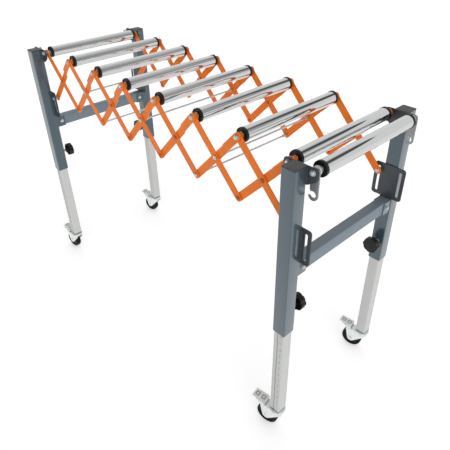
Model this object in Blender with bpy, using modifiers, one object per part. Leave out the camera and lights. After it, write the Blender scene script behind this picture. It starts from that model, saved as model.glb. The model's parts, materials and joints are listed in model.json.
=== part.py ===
"""Expanding roller stand: two wheeled end frames joined by a scissor of flat links that carries rollers.

+X runs along the stand towards the end with two rollers, +Z is up, and the floor is z = 0.
"""
import math

import bmesh
import bpy
from mathutils import Matrix

MM = 0.001
QUARTER = math.radians(90)
HALF = math.radians(180)

# Placement: moves the layout so that the origin is under the middle of the whole stand
CENTRE_X = 16.16 * MM
CENTRE_Y = 4.28 * MM

# Overall layout
SPAN_X = 1330.0 * MM
SPAN_Y = 475.0 * MM
POST_TOP = 975.5 * MM
ROLLER_Z = 963.0 * MM
CELLS = 7
EAR_IN = 35.0 * MM
EAR_OUT = 37.5 * MM
DROP = 184.0 * MM

# End-frame posts: square tube, plastic cap, guide bush and welded plates
POST_SIDE = 42.0 * MM
POST_WALL = 1.8 * MM
POST_ROUND = 2.6 * MM
POST_LENGTH = 525.0 * MM
CAP_THICK = 3.0 * MM
BUSH_INNER = 36.8 * MM
BUSH_LENGTH = 30.0 * MM
BUSH_OVERLAP = 1.0 * MM
PLATE_THICK = 3.5 * MM
WELD = 0.5 * MM
PLATE_HALF = 50.0 * MM
EAR_TOP_ROUND = 12.0 * MM
EAR_TOP_GAP = 0.5 * MM
EAR_CORNER_Z = 31.0 * MM
EAR_FOOT_X = 23.0 * MM
EAR_FOOT_Z = 50.0 * MM
EAR_LOW_CUT = 5.0 * MM
SLOT_PLATE_TOP = 171.0 * MM
SLOT_PLATE_BOTTOM = 279.0 * MM
SLOT_PLATE_ROUND = 10.0 * MM
SLOT_TOP = 183.0 * MM
SLOT_BOTTOM = 268.5 * MM
SLOT_WIDTH = 9.0 * MM
CATCH_REACH = 18.0 * MM
CATCH_FLANGE = 3.0 * MM
CATCH_FLANGE_RADIUS = 8.0 * MM

# Crossbars and the channels welded to the posts that hold their ends
BAR_DROP = 304.0 * MM
BAR_DEPTH = 32.4 * MM
BAR_HEIGHT = 42.0 * MM
BAR_WALL = 2.0 * MM
BAR_ROUND = 3.0 * MM
BAR_END_GAP = 0.4 * MM
CHANNEL_HALF = 19.0 * MM
CHANNEL_WALL = 2.5 * MM
CHANNEL_LENGTH = 33.0 * MM
CHANNEL_LIP = 1.0 * MM
CHANNEL_GAP = 0.3 * MM

# Legs, with the plug and swivel stem at the foot
LEG_SIDE = 36.0 * MM
LEG_WALL = 1.6 * MM
LEG_ROUND = 2.6 * MM
LEG_BOTTOM = 94.5 * MM
LEG_LENGTH = 560.0 * MM
LEG_PLUG = 12.0 * MM
LEG_PLUG_SIDE = 34.4 * MM
LEG_PLUG_LIFT = 0.6 * MM
STEM_RADIUS = 7.0 * MM
STEM_END = 82.5 * MM

# Clamp knobs
KNOB_DROP = 449.0 * MM
KNOB_RADIUS = 25.2 * MM
KNOB_LOBE = 1.0 * MM
KNOB_LOBES = 8
KNOB_LOBE_STEPS = 3
KNOB_HEAD = 12.0 * MM
KNOB_STAND = 30.0 * MM
KNOB_NECK_WIDE = 15.0 * MM
KNOB_NECK_SLIM = 8.5 * MM
KNOB_NECK_END = 9.0 * MM
STUD_RADIUS = 4.0 * MM
STUD_GAP = 0.3 * MM
NUT_HEIGHT = 6.0 * MM
NUT_RADIUS = 9.0 * MM

# Scissor links and the layers that they lie in, measured outwards from the middle of the stand
LINK_WIDTH = 24.0 * MM
LINK_THICK = 3.2 * MM
FALL_LAYER = 204.0 * MM
RISE_LAYER = 200.3 * MM
RISE_TOP_LAYER = 207.7 * MM
JOGGLE_START = 53.0 * MM
JOGGLE_END = 76.0 * MM
AXLE_RADIUS = 5.0 * MM
PIN_RADIUS = 4.0 * MM
ROD_RADIUS = 3.0 * MM
HOLE_GAP = 0.45 * MM
HEAD_RADIUS = 7.0 * MM
HEAD_GAP = 0.4 * MM
HEAD_THICK = 2.6 * MM
AXLE_NUT_RADIUS = 8.0 * MM
AXLE_NUT = 6.0 * MM
PIN_NUT = 4.5 * MM
SPACER_RADIUS = 7.0 * MM
SINK = 0.3 * MM
MID_RODS = (2, 4, 6)
LOW_RODS = (3, 6)

# Rollers
ROLLER_HALF = 191.5 * MM
ROLLER_RADIUS = 19.2 * MM
RING_RADIUS = 20.5 * MM
RING_LENGTH = 8.5 * MM
ROLLER_BORE = 5.5 * MM
ROLLER_WALL = 1.6 * MM
ROLLER_END = 10.0 * MM

# Linking hooks
HOOK_LAYER = 210.0 * MM
HOOK_THICK = 4.0 * MM
HOOK_EYE_X = 2.5 * MM
HOOK_HALF = 12.5 * MM
HOOK_LEFT = 9.0 * MM
HOOK_SHOULDER = 46.0 * MM
HOOK_CURVE_X = 1.5 * MM
HOOK_CURVE_Z = -61.0 * MM
HOOK_CURVE_RADIUS = 13.5 * MM
NOTCH_X = 0.5 * MM
NOTCH_Z = -58.5 * MM
NOTCH_RADIUS = 9.0 * MM
NOTCH_START = math.radians(135)
NOTCH_END = math.radians(-157.5)
HOOK_TIP = math.radians(-171)

# Casters; the trail runs towards -X before each caster is turned to its heading
TRAIL = 35.0 * MM
WHEEL_RADIUS = 37.5 * MM
WHEEL_HALF = 12.0 * MM
WHEEL_HUB = 12.6 * MM
WHEEL_HUB_RADIUS = 11.0 * MM
WHEEL_DISH = 9.5 * MM
WHEEL_DISH_RADIUS = 27.0 * MM
WHEEL_TREAD = 8.0 * MM
WHEEL_SHOULDER = 35.0 * MM
WHEEL_BORE = 4.5 * MM
FORK_INNER = 13.2 * MM
FORK_THICK = 2.0 * MM
FORK_TOP = 83.0 * MM
FORK_SHOULDER = 75.0 * MM
FORK_FRONT = 22.0 * MM
FORK_BACK = -58.0 * MM
FORK_BOSS = 14.0 * MM
FORK_BRIDGE_BACK = -40.0 * MM
FORK_BRIDGE = 3.0 * MM
HEAD_TOP = 92.0 * MM
HEAD_TOP_RADIUS = 18.0 * MM
HEAD_RIM_RADIUS = 24.5 * MM
HEAD_RIM_TOP = 89.5 * MM
HEAD_RIM_LOW = 85.0 * MM
HEAD_FOOT_RADIUS = 19.0 * MM
HEAD_FOOT = 81.5 * MM
STEM_GAP = 0.5 * MM
WHEEL_NUT = 3.2 * MM
WHEEL_NUT_RADIUS = 6.5 * MM
PEDAL_PIVOT_X = -47.0 * MM
PEDAL_PIVOT_Z = 81.0 * MM
PEDAL_PIN_RADIUS = 2.6 * MM
PEDAL_PIN_REACH = 19.0 * MM
PEDAL_INNER = 15.6 * MM
PEDAL_OUTER = 17.6 * MM
PEDAL_TREAD_HALF = 16.0 * MM
PEDAL_EYE = 5.5 * MM
PEDAL_FRONT = -40.0 * MM
PEDAL_FRONT_Z = 95.5 * MM
PEDAL_BACK = -89.0 * MM
PEDAL_BACK_Z = 103.0 * MM
PEDAL_CHEEK_BACK = -76.0 * MM
PEDAL_CHEEK_Z = 100.4 * MM
PEDAL_THICK = 2.5 * MM
SHOE_FRONT = -59.0 * MM
SHOE_BACK = -62.0 * MM
SHOE_BOTTOM = 74.5 * MM
SHOE_TOP = 98.0 * MM
SHOE_HALF = 9.0 * MM
HEADINGS = {
    "near_front": math.radians(11),
    "near_back": math.radians(10),
    "far_front": math.radians(7),
    "far_back": math.radians(13),
}

# Facet counts
ROLLER_SIDES = 14
WHEEL_SIDES = 20
PIN_SIDES = 6
HUB_SIDES = 8
HEX = 6
ARC_STEPS = 3
LINK_ARC_STEPS = 4
CORNER_STEPS = 2
BOSS_SIDES = 12
NOTCH_STEPS = 9
HOOK_STEPS = 6
HEAD_SIDES = 12
MERGE = 1e-6
SMOOTH_ANGLE = math.radians(40)
FLAT_ANGLE = math.radians(0.5)

PITCH = (SPAN_X - 2 * EAR_IN) / CELLS
LINK_LENGTH = math.hypot(PITCH, DROP)
REST_ANGLE = math.atan2(DROP, PITCH)
NEAR_X = SPAN_X / 2 + CENTRE_X
FAR_X = -SPAN_X / 2 + CENTRE_X
INNER_FACE = SPAN_Y / 2 - POST_SIDE / 2
PLATE_FACE = INNER_FACE - PLATE_THICK
PLATE_BACK = INNER_FACE + WELD

COLOURS = {
    "enamel": ((0.10, 0.14, 0.18), 0.25, 0.0),
    "orange": ((0.80, 0.19, 0.02), 0.35, 0.0),
    "chrome": ((0.80, 0.80, 0.81), 0.08, 1.0),
    "zinc": ((0.66, 0.69, 0.69), 0.35, 0.9),
    "black": ((0.012, 0.012, 0.013), 0.45, 0.0),
    "galvanised": ((0.62, 0.63, 0.63), 0.45, 0.6),
}


def clear_scene():
    """Empty the scene and make the collection that holds the stand."""
    for obj in list(bpy.data.objects):
        bpy.data.objects.remove(obj)
    stand = bpy.data.collections.new("roller_stand")
    bpy.context.scene.collection.children.link(stand)
    return stand


def material(name, finish):
    """A Principled material in one of the stand's finishes."""
    colour, roughness, metallic = COLOURS[finish]
    mat = bpy.data.materials.new(name)
    mat.use_nodes = True
    shader = mat.node_tree.nodes["Principled BSDF"]
    shader.inputs["Base Color"].default_value = (*colour, 1.0)
    shader.inputs["Roughness"].default_value = roughness
    shader.inputs["Metallic"].default_value = metallic
    return mat


def tidy(mesh):
    """Weld coincident points, join faces that lie in one plane and turn every face outwards."""
    bm = bmesh.new()
    bm.from_mesh(mesh)
    bmesh.ops.remove_doubles(bm, verts=bm.verts, dist=MERGE)
    bmesh.ops.dissolve_limit(bm, angle_limit=FLAT_ANGLE, verts=bm.verts, edges=bm.edges)
    bmesh.ops.recalc_face_normals(bm, faces=bm.faces)
    bm.to_mesh(mesh)
    bm.free()
    return mesh


def evaluated(obj):
    """The mesh that an object's modifiers or curve settings give, with the object removed."""
    bpy.context.view_layer.update()
    depsgraph = bpy.context.evaluated_depsgraph_get()
    mesh = bpy.data.meshes.new_from_object(obj.evaluated_get(depsgraph))
    bpy.data.objects.remove(obj)
    return tidy(mesh)


def temporary(data):
    """A scene object that is only there to be evaluated."""
    obj = bpy.data.objects.new("working", data)
    bpy.context.scene.collection.objects.link(obj)
    return obj


def flat(outlines, thickness):
    """A plate in the XY plane, centred on it: the first outline is its edge, the rest are its holes."""
    curve = bpy.data.curves.new("outline", "CURVE")
    curve.dimensions = "2D"
    curve.fill_mode = "BOTH"
    curve.extrude = thickness / 2
    for points in outlines:
        spline = curve.splines.new("POLY")
        spline.points.add(len(points) - 1)
        for target, (x, y) in zip(spline.points, points):
            target.co = (x, y, 0.0, 1.0)
        spline.use_cyclic_u = True
    return evaluated(temporary(curve))


def prism(outline, low, high):
    """An upright bar of the given outline between two heights."""
    mesh = flat([outline], high - low)
    mesh.transform(Matrix.Translation((0, 0, (low + high) / 2)))
    return mesh


def upright(mesh, y):
    """Stand a flat plate in the XZ plane, with its middle at the given y."""
    mesh.transform(Matrix.Translation((0, y, 0)) @ Matrix.Rotation(QUARTER, 4, "X"))
    return mesh


def turned(profile, sides, closed=False):
    """A shape turned about Z from (radius, height) points that run down its outer side."""
    mesh = bpy.data.meshes.new("profile")
    edges = [(i, i + 1) for i in range(len(profile) - 1)]
    if closed:
        edges.append((len(profile) - 1, 0))
    mesh.from_pydata([(r, 0.0, h) for r, h in profile], edges, [])
    obj = temporary(mesh)
    screw = obj.modifiers.new("turn", "SCREW")
    screw.angle = 2 * HALF
    screw.screw_offset = 0.0
    screw.steps = sides
    screw.render_steps = sides
    screw.use_merge_vertices = True
    screw.merge_threshold = MERGE
    return evaluated(obj)


def along_y(mesh, x=0.0, z=0.0):
    """Lay a turned shape along Y, with its axis through the given x and z."""
    mesh.transform(Matrix.Translation((x, 0, z)) @ Matrix.Rotation(-QUARTER, 4, "X"))
    return mesh


def rod(radius, low, high, sides=PIN_SIDES):
    """A plain round bar about Z between two heights."""
    return turned([(0, high), (radius, high), (radius, low), (0, low)], sides)


def block(low, high):
    """A rectangular block between two corners."""
    bm = bmesh.new()
    bmesh.ops.create_cube(bm, size=1.0)
    size = [b - a for a, b in zip(low, high)]
    middle = [(a + b) / 2 for a, b in zip(low, high)]
    bmesh.ops.scale(bm, vec=size, verts=bm.verts)
    bmesh.ops.translate(bm, vec=middle, verts=bm.verts)
    mesh = bpy.data.meshes.new("block")
    bm.to_mesh(mesh)
    bm.free()
    return mesh


def together(meshes):
    """Several meshes as one, still as separate bodies."""
    bm = bmesh.new()
    for mesh in meshes:
        bm.from_mesh(mesh)
    out = bpy.data.meshes.new("together")
    bm.to_mesh(out)
    bm.free()
    return out


def boolean(mesh, other, operation):
    """Join or cut one mesh by another."""
    cutter = temporary(other)
    obj = temporary(mesh)
    step = obj.modifiers.new("join", "BOOLEAN")
    step.operation = operation
    step.solver = "EXACT"
    step.object = cutter
    out = evaluated(obj)
    bpy.data.objects.remove(cutter)
    return out


def mirrored(mesh):
    """The same shape on the other side of the XZ plane."""
    out = mesh.copy()
    out.transform(Matrix.Diagonal((1, -1, 1, 1)))
    return tidy(out)


def arc(x, y, radius, start, end, steps):
    """Points on an arc, both ends included."""
    turn = (end - start) / steps
    return [
        (x + radius * math.cos(start + i * turn), y + radius * math.sin(start + i * turn))
        for i in range(steps + 1)
    ]


def ring(x, y, radius, sides):
    """Points round a circle."""
    return arc(x, y, radius, 0, 2 * HALF, sides)[:-1]


def hole(x, y, radius, sides=PIN_SIDES):
    """A hole's outline whose flats clear a round bar of the given radius by the running gap."""
    return ring(x, y, (radius + HOLE_GAP) / math.cos(HALF / sides), sides)


def rectangle(width, height):
    """A rectangle centred on the origin."""
    right = [(width / 2, -height / 2), (width / 2, height / 2)]
    return right + [(-x, y) for x, y in reversed(right)]


def rounded(width, height, radius, y=0.0):
    """A rectangle with rounded corners, centred on x = 0."""
    a = width / 2 - radius
    b = height / 2 - radius
    points = []
    for i, (sx, sy) in enumerate(((1, 1), (-1, 1), (-1, -1), (1, -1))):
        points += arc(sx * a, y + sy * b, radius, i * QUARTER, (i + 1) * QUARTER, CORNER_STEPS)
    return points


def slot(x, low, high, width):
    """An upright slot with round ends."""
    radius = width / 2
    top = arc(x, high - radius, radius, 0, HALF, ARC_STEPS + 1)
    bottom = arc(x, low + radius, radius, HALF, 2 * HALF, ARC_STEPS + 1)
    return top + bottom


def hull(points):
    """The outline that a cord drawn tight round the points would take."""
    points = sorted(set(points))
    chains = []
    for run in (points, points[::-1]):
        chain = []
        for p in run:
            while len(chain) > 1:
                (ax, ay), (bx, by) = chain[-2], chain[-1]
                if (bx - ax) * (p[1] - ay) - (by - ay) * (p[0] - ax) > 0:
                    break
                chain.pop()
            chain.append(p)
        chains.append(chain[:-1])
    return chains[0] + chains[1]


def link_outline(low, high):
    """A flat link with round ends whose end holes are at x = low and x = high."""
    radius = LINK_WIDTH / 2
    right = arc(high, 0, radius, -QUARTER, QUARTER, LINK_ARC_STEPS)
    left = arc(low, 0, radius, QUARTER, 3 * QUARTER, LINK_ARC_STEPS)
    return right + left


def ear_outline():
    """The top plate: two ears with round shoulders and a tapered foot across the post."""
    right = [(EAR_FOOT_X, -EAR_FOOT_Z)]
    right.append((PLATE_HALF - EAR_LOW_CUT, -EAR_CORNER_Z - EAR_LOW_CUT))
    right.append((PLATE_HALF, -EAR_CORNER_Z))
    centre_x = PLATE_HALF - EAR_TOP_ROUND
    right += arc(centre_x, -EAR_TOP_GAP - EAR_TOP_ROUND, EAR_TOP_ROUND, 0, QUARTER, ARC_STEPS)
    return right + [(-x, z) for x, z in reversed(right)]


def plate_on_post(outlines):
    """A plate welded to a post's inner face, which looks towards +Y here."""
    y = POST_SIDE / 2 + (PLATE_THICK - WELD) / 2
    return upright(flat(outlines, PLATE_THICK + WELD), y)


def post_mesh(near):
    """One post of the near end, or of the far end turned half round, with its inner face towards +Y.

    Its origin is at the top of the cap, and the scissor lies towards -X.
    """
    foot = -POST_LENGTH
    bush_top = foot + BUSH_LENGTH
    body = prism(rounded(POST_SIDE, POST_SIDE, POST_ROUND), foot, 0)
    guide = rectangle(BUSH_INNER, BUSH_INNER)
    body = boolean(body, prism(guide, foot - BUSH_LENGTH, bush_top), "DIFFERENCE")
    inner = POST_SIDE - 2 * POST_WALL
    hollow = rectangle(inner, inner)
    body = boolean(body, prism(hollow, bush_top - BUSH_OVERLAP, -CAP_THICK), "DIFFERENCE")

    axle_z = ROLLER_Z - POST_TOP
    holes = [hole(-EAR_IN, axle_z, AXLE_RADIUS)]
    if near:
        holes.append(hole(EAR_OUT, axle_z, AXLE_RADIUS))
    top_plate = plate_on_post([ear_outline()] + holes)
    height = SLOT_PLATE_BOTTOM - SLOT_PLATE_TOP
    middle = -(SLOT_PLATE_BOTTOM + SLOT_PLATE_TOP) / 2
    edge = rounded(2 * PLATE_HALF, height, SLOT_PLATE_ROUND, middle)
    slots = [slot(x, -SLOT_BOTTOM, -SLOT_TOP, SLOT_WIDTH) for x in (-EAR_IN, EAR_IN)]
    slot_plate = plate_on_post([edge] + slots)
    welded = [top_plate, slot_plate, channel_mesh(), clamp_nut()]
    body = boolean(body, together(welded), "UNION")
    if not near:
        body = boolean(body, catch_pin(axle_z), "UNION")
    return boolean(body, screw_hole(), "DIFFERENCE")


def channel_mesh():
    """The open-topped channel that a crossbar's end drops into."""
    outer = CHANNEL_HALF
    inside = CHANNEL_HALF - CHANNEL_WALL
    top = -BAR_DROP + BAR_HEIGHT / 2 - CHANNEL_LIP
    floor = -BAR_DROP - BAR_HEIGHT / 2 - CHANNEL_GAP
    bottom = floor - CHANNEL_WALL
    right = [(outer, bottom), (outer, top), (inside, top), (inside, floor)]
    outline = right + [(-x, z) for x, z in reversed(right)]
    y = POST_SIDE / 2 + (CHANNEL_LENGTH - WELD) / 2
    return upright(flat([outline], CHANNEL_LENGTH + WELD), y)


def clamp_nut():
    """The nut welded over the clamp screw's hole."""
    face = POST_SIDE / 2
    return along_y(rod(NUT_RADIUS, face - WELD, face + NUT_HEIGHT, HEX), z=-KNOB_DROP)


def catch_pin(z):
    """The flanged pin on a far post's outer ear that another stand's hook drops over."""
    face = POST_SIDE / 2 + PLATE_THICK
    end = face + CATCH_REACH
    flange = end - CATCH_FLANGE
    wide = CATCH_FLANGE_RADIUS
    profile = [(0, end), (wide, end), (wide, flange), (AXLE_RADIUS, flange)]
    profile += [(AXLE_RADIUS, face - SINK), (0, face - SINK)]
    return along_y(turned(profile, PIN_SIDES), EAR_OUT, z)


def screw_hole():
    """The cutter for the clamp screw's hole."""
    radius = (STUD_RADIUS + HOLE_GAP) / math.cos(HALF / PIN_SIDES)
    low = POST_SIDE / 2 - 2 * POST_WALL
    high = POST_SIDE / 2 + 2 * NUT_HEIGHT
    return along_y(rod(radius, low, high), z=-KNOB_DROP)


def crossbar_mesh():
    """A rectangular tube along Y whose ends lie in the channels on the posts."""
    half = INNER_FACE - BAR_END_GAP
    inner = rectangle(BAR_DEPTH - 2 * BAR_WALL, BAR_HEIGHT - 2 * BAR_WALL)
    return upright(flat([rounded(BAR_DEPTH, BAR_HEIGHT, BAR_ROUND), inner], 2 * half), 0)


def leg_mesh():
    """A square inner tube with a plug and a swivel stem at its foot; z = 0 is the floor."""
    inner = LEG_SIDE - 2 * LEG_WALL
    bore = rectangle(inner, inner)
    tube = flat([rounded(LEG_SIDE, LEG_SIDE, LEG_ROUND), bore], LEG_LENGTH)
    tube.transform(Matrix.Translation((0, 0, LEG_BOTTOM + LEG_LENGTH / 2)))
    half = LEG_PLUG_SIDE / 2
    low = LEG_BOTTOM + LEG_PLUG_LIFT
    plug = block((-half, -half, low), (half, half, low + LEG_PLUG))
    stem = rod(STEM_RADIUS, STEM_END, low + LEG_PLUG / 2, HEAD_SIDES)
    return boolean(boolean(tube, plug, "UNION"), stem, "UNION")


def knob_mesh():
    """A lobed clamp knob and its screw along +Y, with y = 0 on the post's inner face."""
    count = KNOB_LOBES * KNOB_LOBE_STEPS
    outline = []
    for i in range(count):
        angle = 2 * HALF * i / count
        radius = KNOB_RADIUS + KNOB_LOBE * math.cos(KNOB_LOBES * angle)
        outline.append((radius * math.cos(angle), radius * math.sin(angle)))
    head = upright(flat([outline], KNOB_HEAD), KNOB_STAND + KNOB_HEAD / 2)
    tip = -POST_SIDE / 2 + LEG_SIDE / 2 + STUD_GAP
    neck = [(0, KNOB_STAND + WELD), (KNOB_NECK_WIDE, KNOB_STAND + WELD)]
    neck += [(KNOB_NECK_SLIM, KNOB_STAND - KNOB_HEAD), (KNOB_NECK_SLIM, KNOB_NECK_END)]
    neck += [(STUD_RADIUS, KNOB_NECK_END), (STUD_RADIUS, tip), (0, tip)]
    return boolean(head, along_y(turned(neck, HUB_SIDES)), "UNION")


def fall_mesh(sign, slot_pin):
    """A link that falls towards +X from its top hole at the origin, on the side that sign gives."""
    holes = [hole(0, 0, AXLE_RADIUS), hole(LINK_LENGTH / 2, 0, PIN_RADIUS)]
    if not slot_pin:
        holes.append(hole(LINK_LENGTH, 0, PIN_RADIUS))
    mesh = upright(flat([link_outline(0, LINK_LENGTH)] + holes, LINK_THICK), sign * FALL_LAYER)
    if not slot_pin:
        return mesh
    face = FALL_LAYER - LINK_THICK / 2
    head = face - HEAD_THICK
    nut = PLATE_BACK + HEAD_GAP
    end = nut + PIN_NUT
    wide = HEAD_RADIUS
    profile = [(0, end), (wide, end), (wide, nut), (PIN_RADIUS, nut), (PIN_RADIUS, face + SINK)]
    profile += [(wide, face + SINK), (wide, head), (0, head)]
    pin = along_y(turned(profile, PIN_SIDES), LINK_LENGTH)
    if sign < 0:
        pin = mirrored(pin)
    return boolean(mesh, pin, "UNION")


def rise_bar(sign):
    """A rising link about its middle, with the top end joggled out past the next falling link."""
    mesh = flat([link_outline(-LINK_LENGTH / 2, LINK_LENGTH / 2)], LINK_THICK)
    bm = bmesh.new()
    bm.from_mesh(mesh)
    for x in (JOGGLE_START, JOGGLE_END):
        parts = bm.verts[:] + bm.edges[:] + bm.faces[:]
        bmesh.ops.bisect_plane(bm, geom=parts, dist=MERGE, plane_co=(x, 0, 0), plane_no=(1, 0, 0))
    for vert in bm.verts:
        if vert.co.x > JOGGLE_END - MERGE:
            vert.co.z += RISE_TOP_LAYER - RISE_LAYER
    bm.to_mesh(mesh)
    bm.free()
    mesh = along_y_plate(mesh, RISE_LAYER)
    if sign < 0:
        return mirrored(mesh)
    return mesh


def along_y_plate(mesh, y):
    """Stand a flat plate in the XZ plane with its upper side towards +Y."""
    mesh.transform(Matrix.Translation((0, y, 0)) @ Matrix.Rotation(-QUARTER, 4, "X"))
    return tidy(mesh)


def pivot_pin(x, slot_pin):
    """A headed pin that stands out of a rising link on the +Y side and carries the falling link."""
    start = RISE_LAYER
    wide = HEAD_RADIUS
    if slot_pin:
        shoulder = PLATE_FACE - HEAD_GAP
        nut = PLATE_BACK + HEAD_GAP
        end = nut + PIN_NUT
        profile = [(0, end), (wide, end), (wide, nut), (PIN_RADIUS, nut)]
        profile += [(PIN_RADIUS, shoulder), (SPACER_RADIUS, shoulder)]
        profile += [(SPACER_RADIUS, start), (0, start)]
    else:
        head = FALL_LAYER + LINK_THICK / 2 + HEAD_GAP
        end = head + HEAD_THICK
        profile = [(0, end), (wide, end), (wide, head), (PIN_RADIUS, head)]
        profile += [(PIN_RADIUS, start), (0, start)]
    return along_y(turned(profile, PIN_SIDES), x)


def axle_mesh(nut_face):
    """A through axle along Y with a nut past each face."""
    end = nut_face + AXLE_NUT
    wide = AXLE_NUT_RADIUS
    side = [(0, end), (wide, end), (wide, nut_face), (AXLE_RADIUS, nut_face)]
    return along_y(turned(side + [(r, -h) for r, h in reversed(side)], PIN_SIDES))


def rise_mesh(cell):
    """A pair of rising links joined by their roller axle and tie rods, about the pair's crossing pins."""
    half = LINK_LENGTH / 2
    bars = together([rise_bar(1), rise_bar(-1)])
    nut_face = RISE_TOP_LAYER + LINK_THICK / 2 - SINK
    if cell == CELLS:
        nut_face = PLATE_BACK + HEAD_GAP
    axle = axle_mesh(nut_face)
    axle.transform(Matrix.Translation((half, 0, 0)))
    fittings = [axle]
    for x, slot_pin in ((0, False), (-half, cell == 1)):
        pin = pivot_pin(x, slot_pin)
        fittings += [pin, mirrored(pin)]
    reach = RISE_LAYER - SINK
    if cell in MID_RODS:
        fittings.append(along_y(rod(ROD_RADIUS, -reach, reach), 0))
    if cell in LOW_RODS:
        fittings.append(along_y(rod(ROD_RADIUS, -reach, reach), -half))
    return boolean(bars, together(fittings), "UNION")


def roller_mesh():
    """A chromed roller tube with a bored end disc and a wider ring at each end."""
    ring_in = ROLLER_HALF - RING_LENGTH
    inside = ROLLER_HALF - ROLLER_END
    bore = ROLLER_BORE
    side = [(ROLLER_RADIUS - ROLLER_WALL, inside), (bore, inside), (bore, ROLLER_HALF)]
    side += [(RING_RADIUS, ROLLER_HALF), (RING_RADIUS, ring_in), (ROLLER_RADIUS, ring_in)]
    profile = side + [(r, -h) for r, h in reversed(side)]
    return along_y(turned(profile, ROLLER_SIDES, closed=True))


def hook_mesh(sign):
    """A linking hook that hangs from its eye at the origin, with its notch towards -X."""
    outline = arc(HOOK_EYE_X, 0, HOOK_HALF, 0, HALF, HOOK_STEPS)
    outline.append((-HOOK_LEFT, -HOOK_SHOULDER))
    outline += arc(NOTCH_X, NOTCH_Z, NOTCH_RADIUS, NOTCH_START, NOTCH_END, NOTCH_STEPS)
    outline += arc(HOOK_CURVE_X, HOOK_CURVE_Z, HOOK_CURVE_RADIUS, HOOK_TIP, 0, HOOK_STEPS)
    return upright(flat([outline, hole(0, 0, AXLE_RADIUS)], HOOK_THICK), sign * HOOK_LAYER)


def fork_mesh():
    """A caster's swivel head and fork about the swivel axis; z = 0 is the floor."""
    boss = ring(-TRAIL, WHEEL_RADIUS, FORK_BOSS, BOSS_SIDES)
    corners = [(x, z) for x in (FORK_FRONT, FORK_BACK) for z in (FORK_TOP, FORK_SHOULDER)]
    outline = hull(boss + corners)
    y = FORK_INNER + FORK_THICK / 2
    cheeks = [upright(flat([outline], FORK_THICK), side * y) for side in (-1, 1)]
    bridge_top = FORK_TOP - WELD
    low = (FORK_BRIDGE_BACK, -y, bridge_top - FORK_BRIDGE)
    bridge = block(low, (FORK_FRONT - WELD, y, bridge_top))
    head = [(0, HEAD_TOP), (HEAD_TOP_RADIUS, HEAD_TOP), (HEAD_RIM_RADIUS, HEAD_RIM_TOP)]
    head += [(HEAD_RIM_RADIUS, HEAD_RIM_LOW), (HEAD_FOOT_RADIUS, HEAD_FOOT), (0, HEAD_FOOT)]
    body = boolean(together(cheeks), bridge, "UNION")
    body = boolean(body, turned(head, HEAD_SIDES), "UNION")
    nut_in = FORK_INNER + FORK_THICK - SINK
    nut_out = nut_in + WHEEL_NUT
    wide = WHEEL_NUT_RADIUS
    side = [(0, nut_out), (wide, nut_out), (wide, nut_in), (PIN_RADIUS, nut_in)]
    profile = side + [(r, -h) for r, h in reversed(side)]
    axle = along_y(turned(profile, PIN_SIDES), -TRAIL, WHEEL_RADIUS)
    pin = rod(PEDAL_PIN_RADIUS, -PEDAL_PIN_REACH, PEDAL_PIN_REACH)
    pivot = along_y(pin, PEDAL_PIVOT_X, PEDAL_PIVOT_Z)
    body = boolean(body, together([axle, pivot]), "UNION")
    radius = (STEM_RADIUS + STEM_GAP) / math.cos(HALF / HEAD_SIDES)
    bore = rod(radius, FORK_SHOULDER, HEAD_TOP + FORK_BRIDGE, HEAD_SIDES)
    return boolean(body, bore, "DIFFERENCE")


def wheel_mesh():
    """A caster wheel with rounded shoulders, dished sides and a bored hub."""
    side = [(WHEEL_BORE, WHEEL_HUB), (WHEEL_HUB_RADIUS, WHEEL_HUB)]
    side += [(WHEEL_DISH_RADIUS, WHEEL_DISH), (WHEEL_SHOULDER, WHEEL_HALF)]
    side.append((WHEEL_RADIUS, WHEEL_TREAD))
    profile = side + [(r, -h) for r, h in reversed(side)]
    return along_y(turned(profile, WHEEL_SIDES, closed=True))


def pedal_mesh():
    """A brake pedal: tread plate, cheeks with pivot eyes, and the shoe over the tyre; z = 0 is the floor."""
    eye = ring(PEDAL_PIVOT_X, PEDAL_PIVOT_Z, PEDAL_EYE, BOSS_SIDES)
    top = [(PEDAL_FRONT, PEDAL_FRONT_Z), (PEDAL_CHEEK_BACK, PEDAL_CHEEK_Z)]
    gap = hole(PEDAL_PIVOT_X, PEDAL_PIVOT_Z, PEDAL_PIN_RADIUS)
    y = (PEDAL_INNER + PEDAL_OUTER) / 2
    thick = PEDAL_OUTER - PEDAL_INNER
    cheeks = [upright(flat([hull(eye + top), gap], thick), side * y) for side in (-1, 1)]
    under = PEDAL_FRONT_Z - WELD
    tread = [(PEDAL_FRONT, under), (PEDAL_FRONT, under + PEDAL_THICK)]
    tread += [(PEDAL_BACK, PEDAL_BACK_Z), (PEDAL_BACK, PEDAL_BACK_Z - PEDAL_THICK)]
    plate = upright(flat([tread], 2 * PEDAL_TREAD_HALF), 0)
    shoe = block((SHOE_BACK, -SHOE_HALF, SHOE_BOTTOM), (SHOE_FRONT, SHOE_HALF, SHOE_TOP))
    return boolean(plate, together(cheeks + [shoe]), "UNION")


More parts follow.
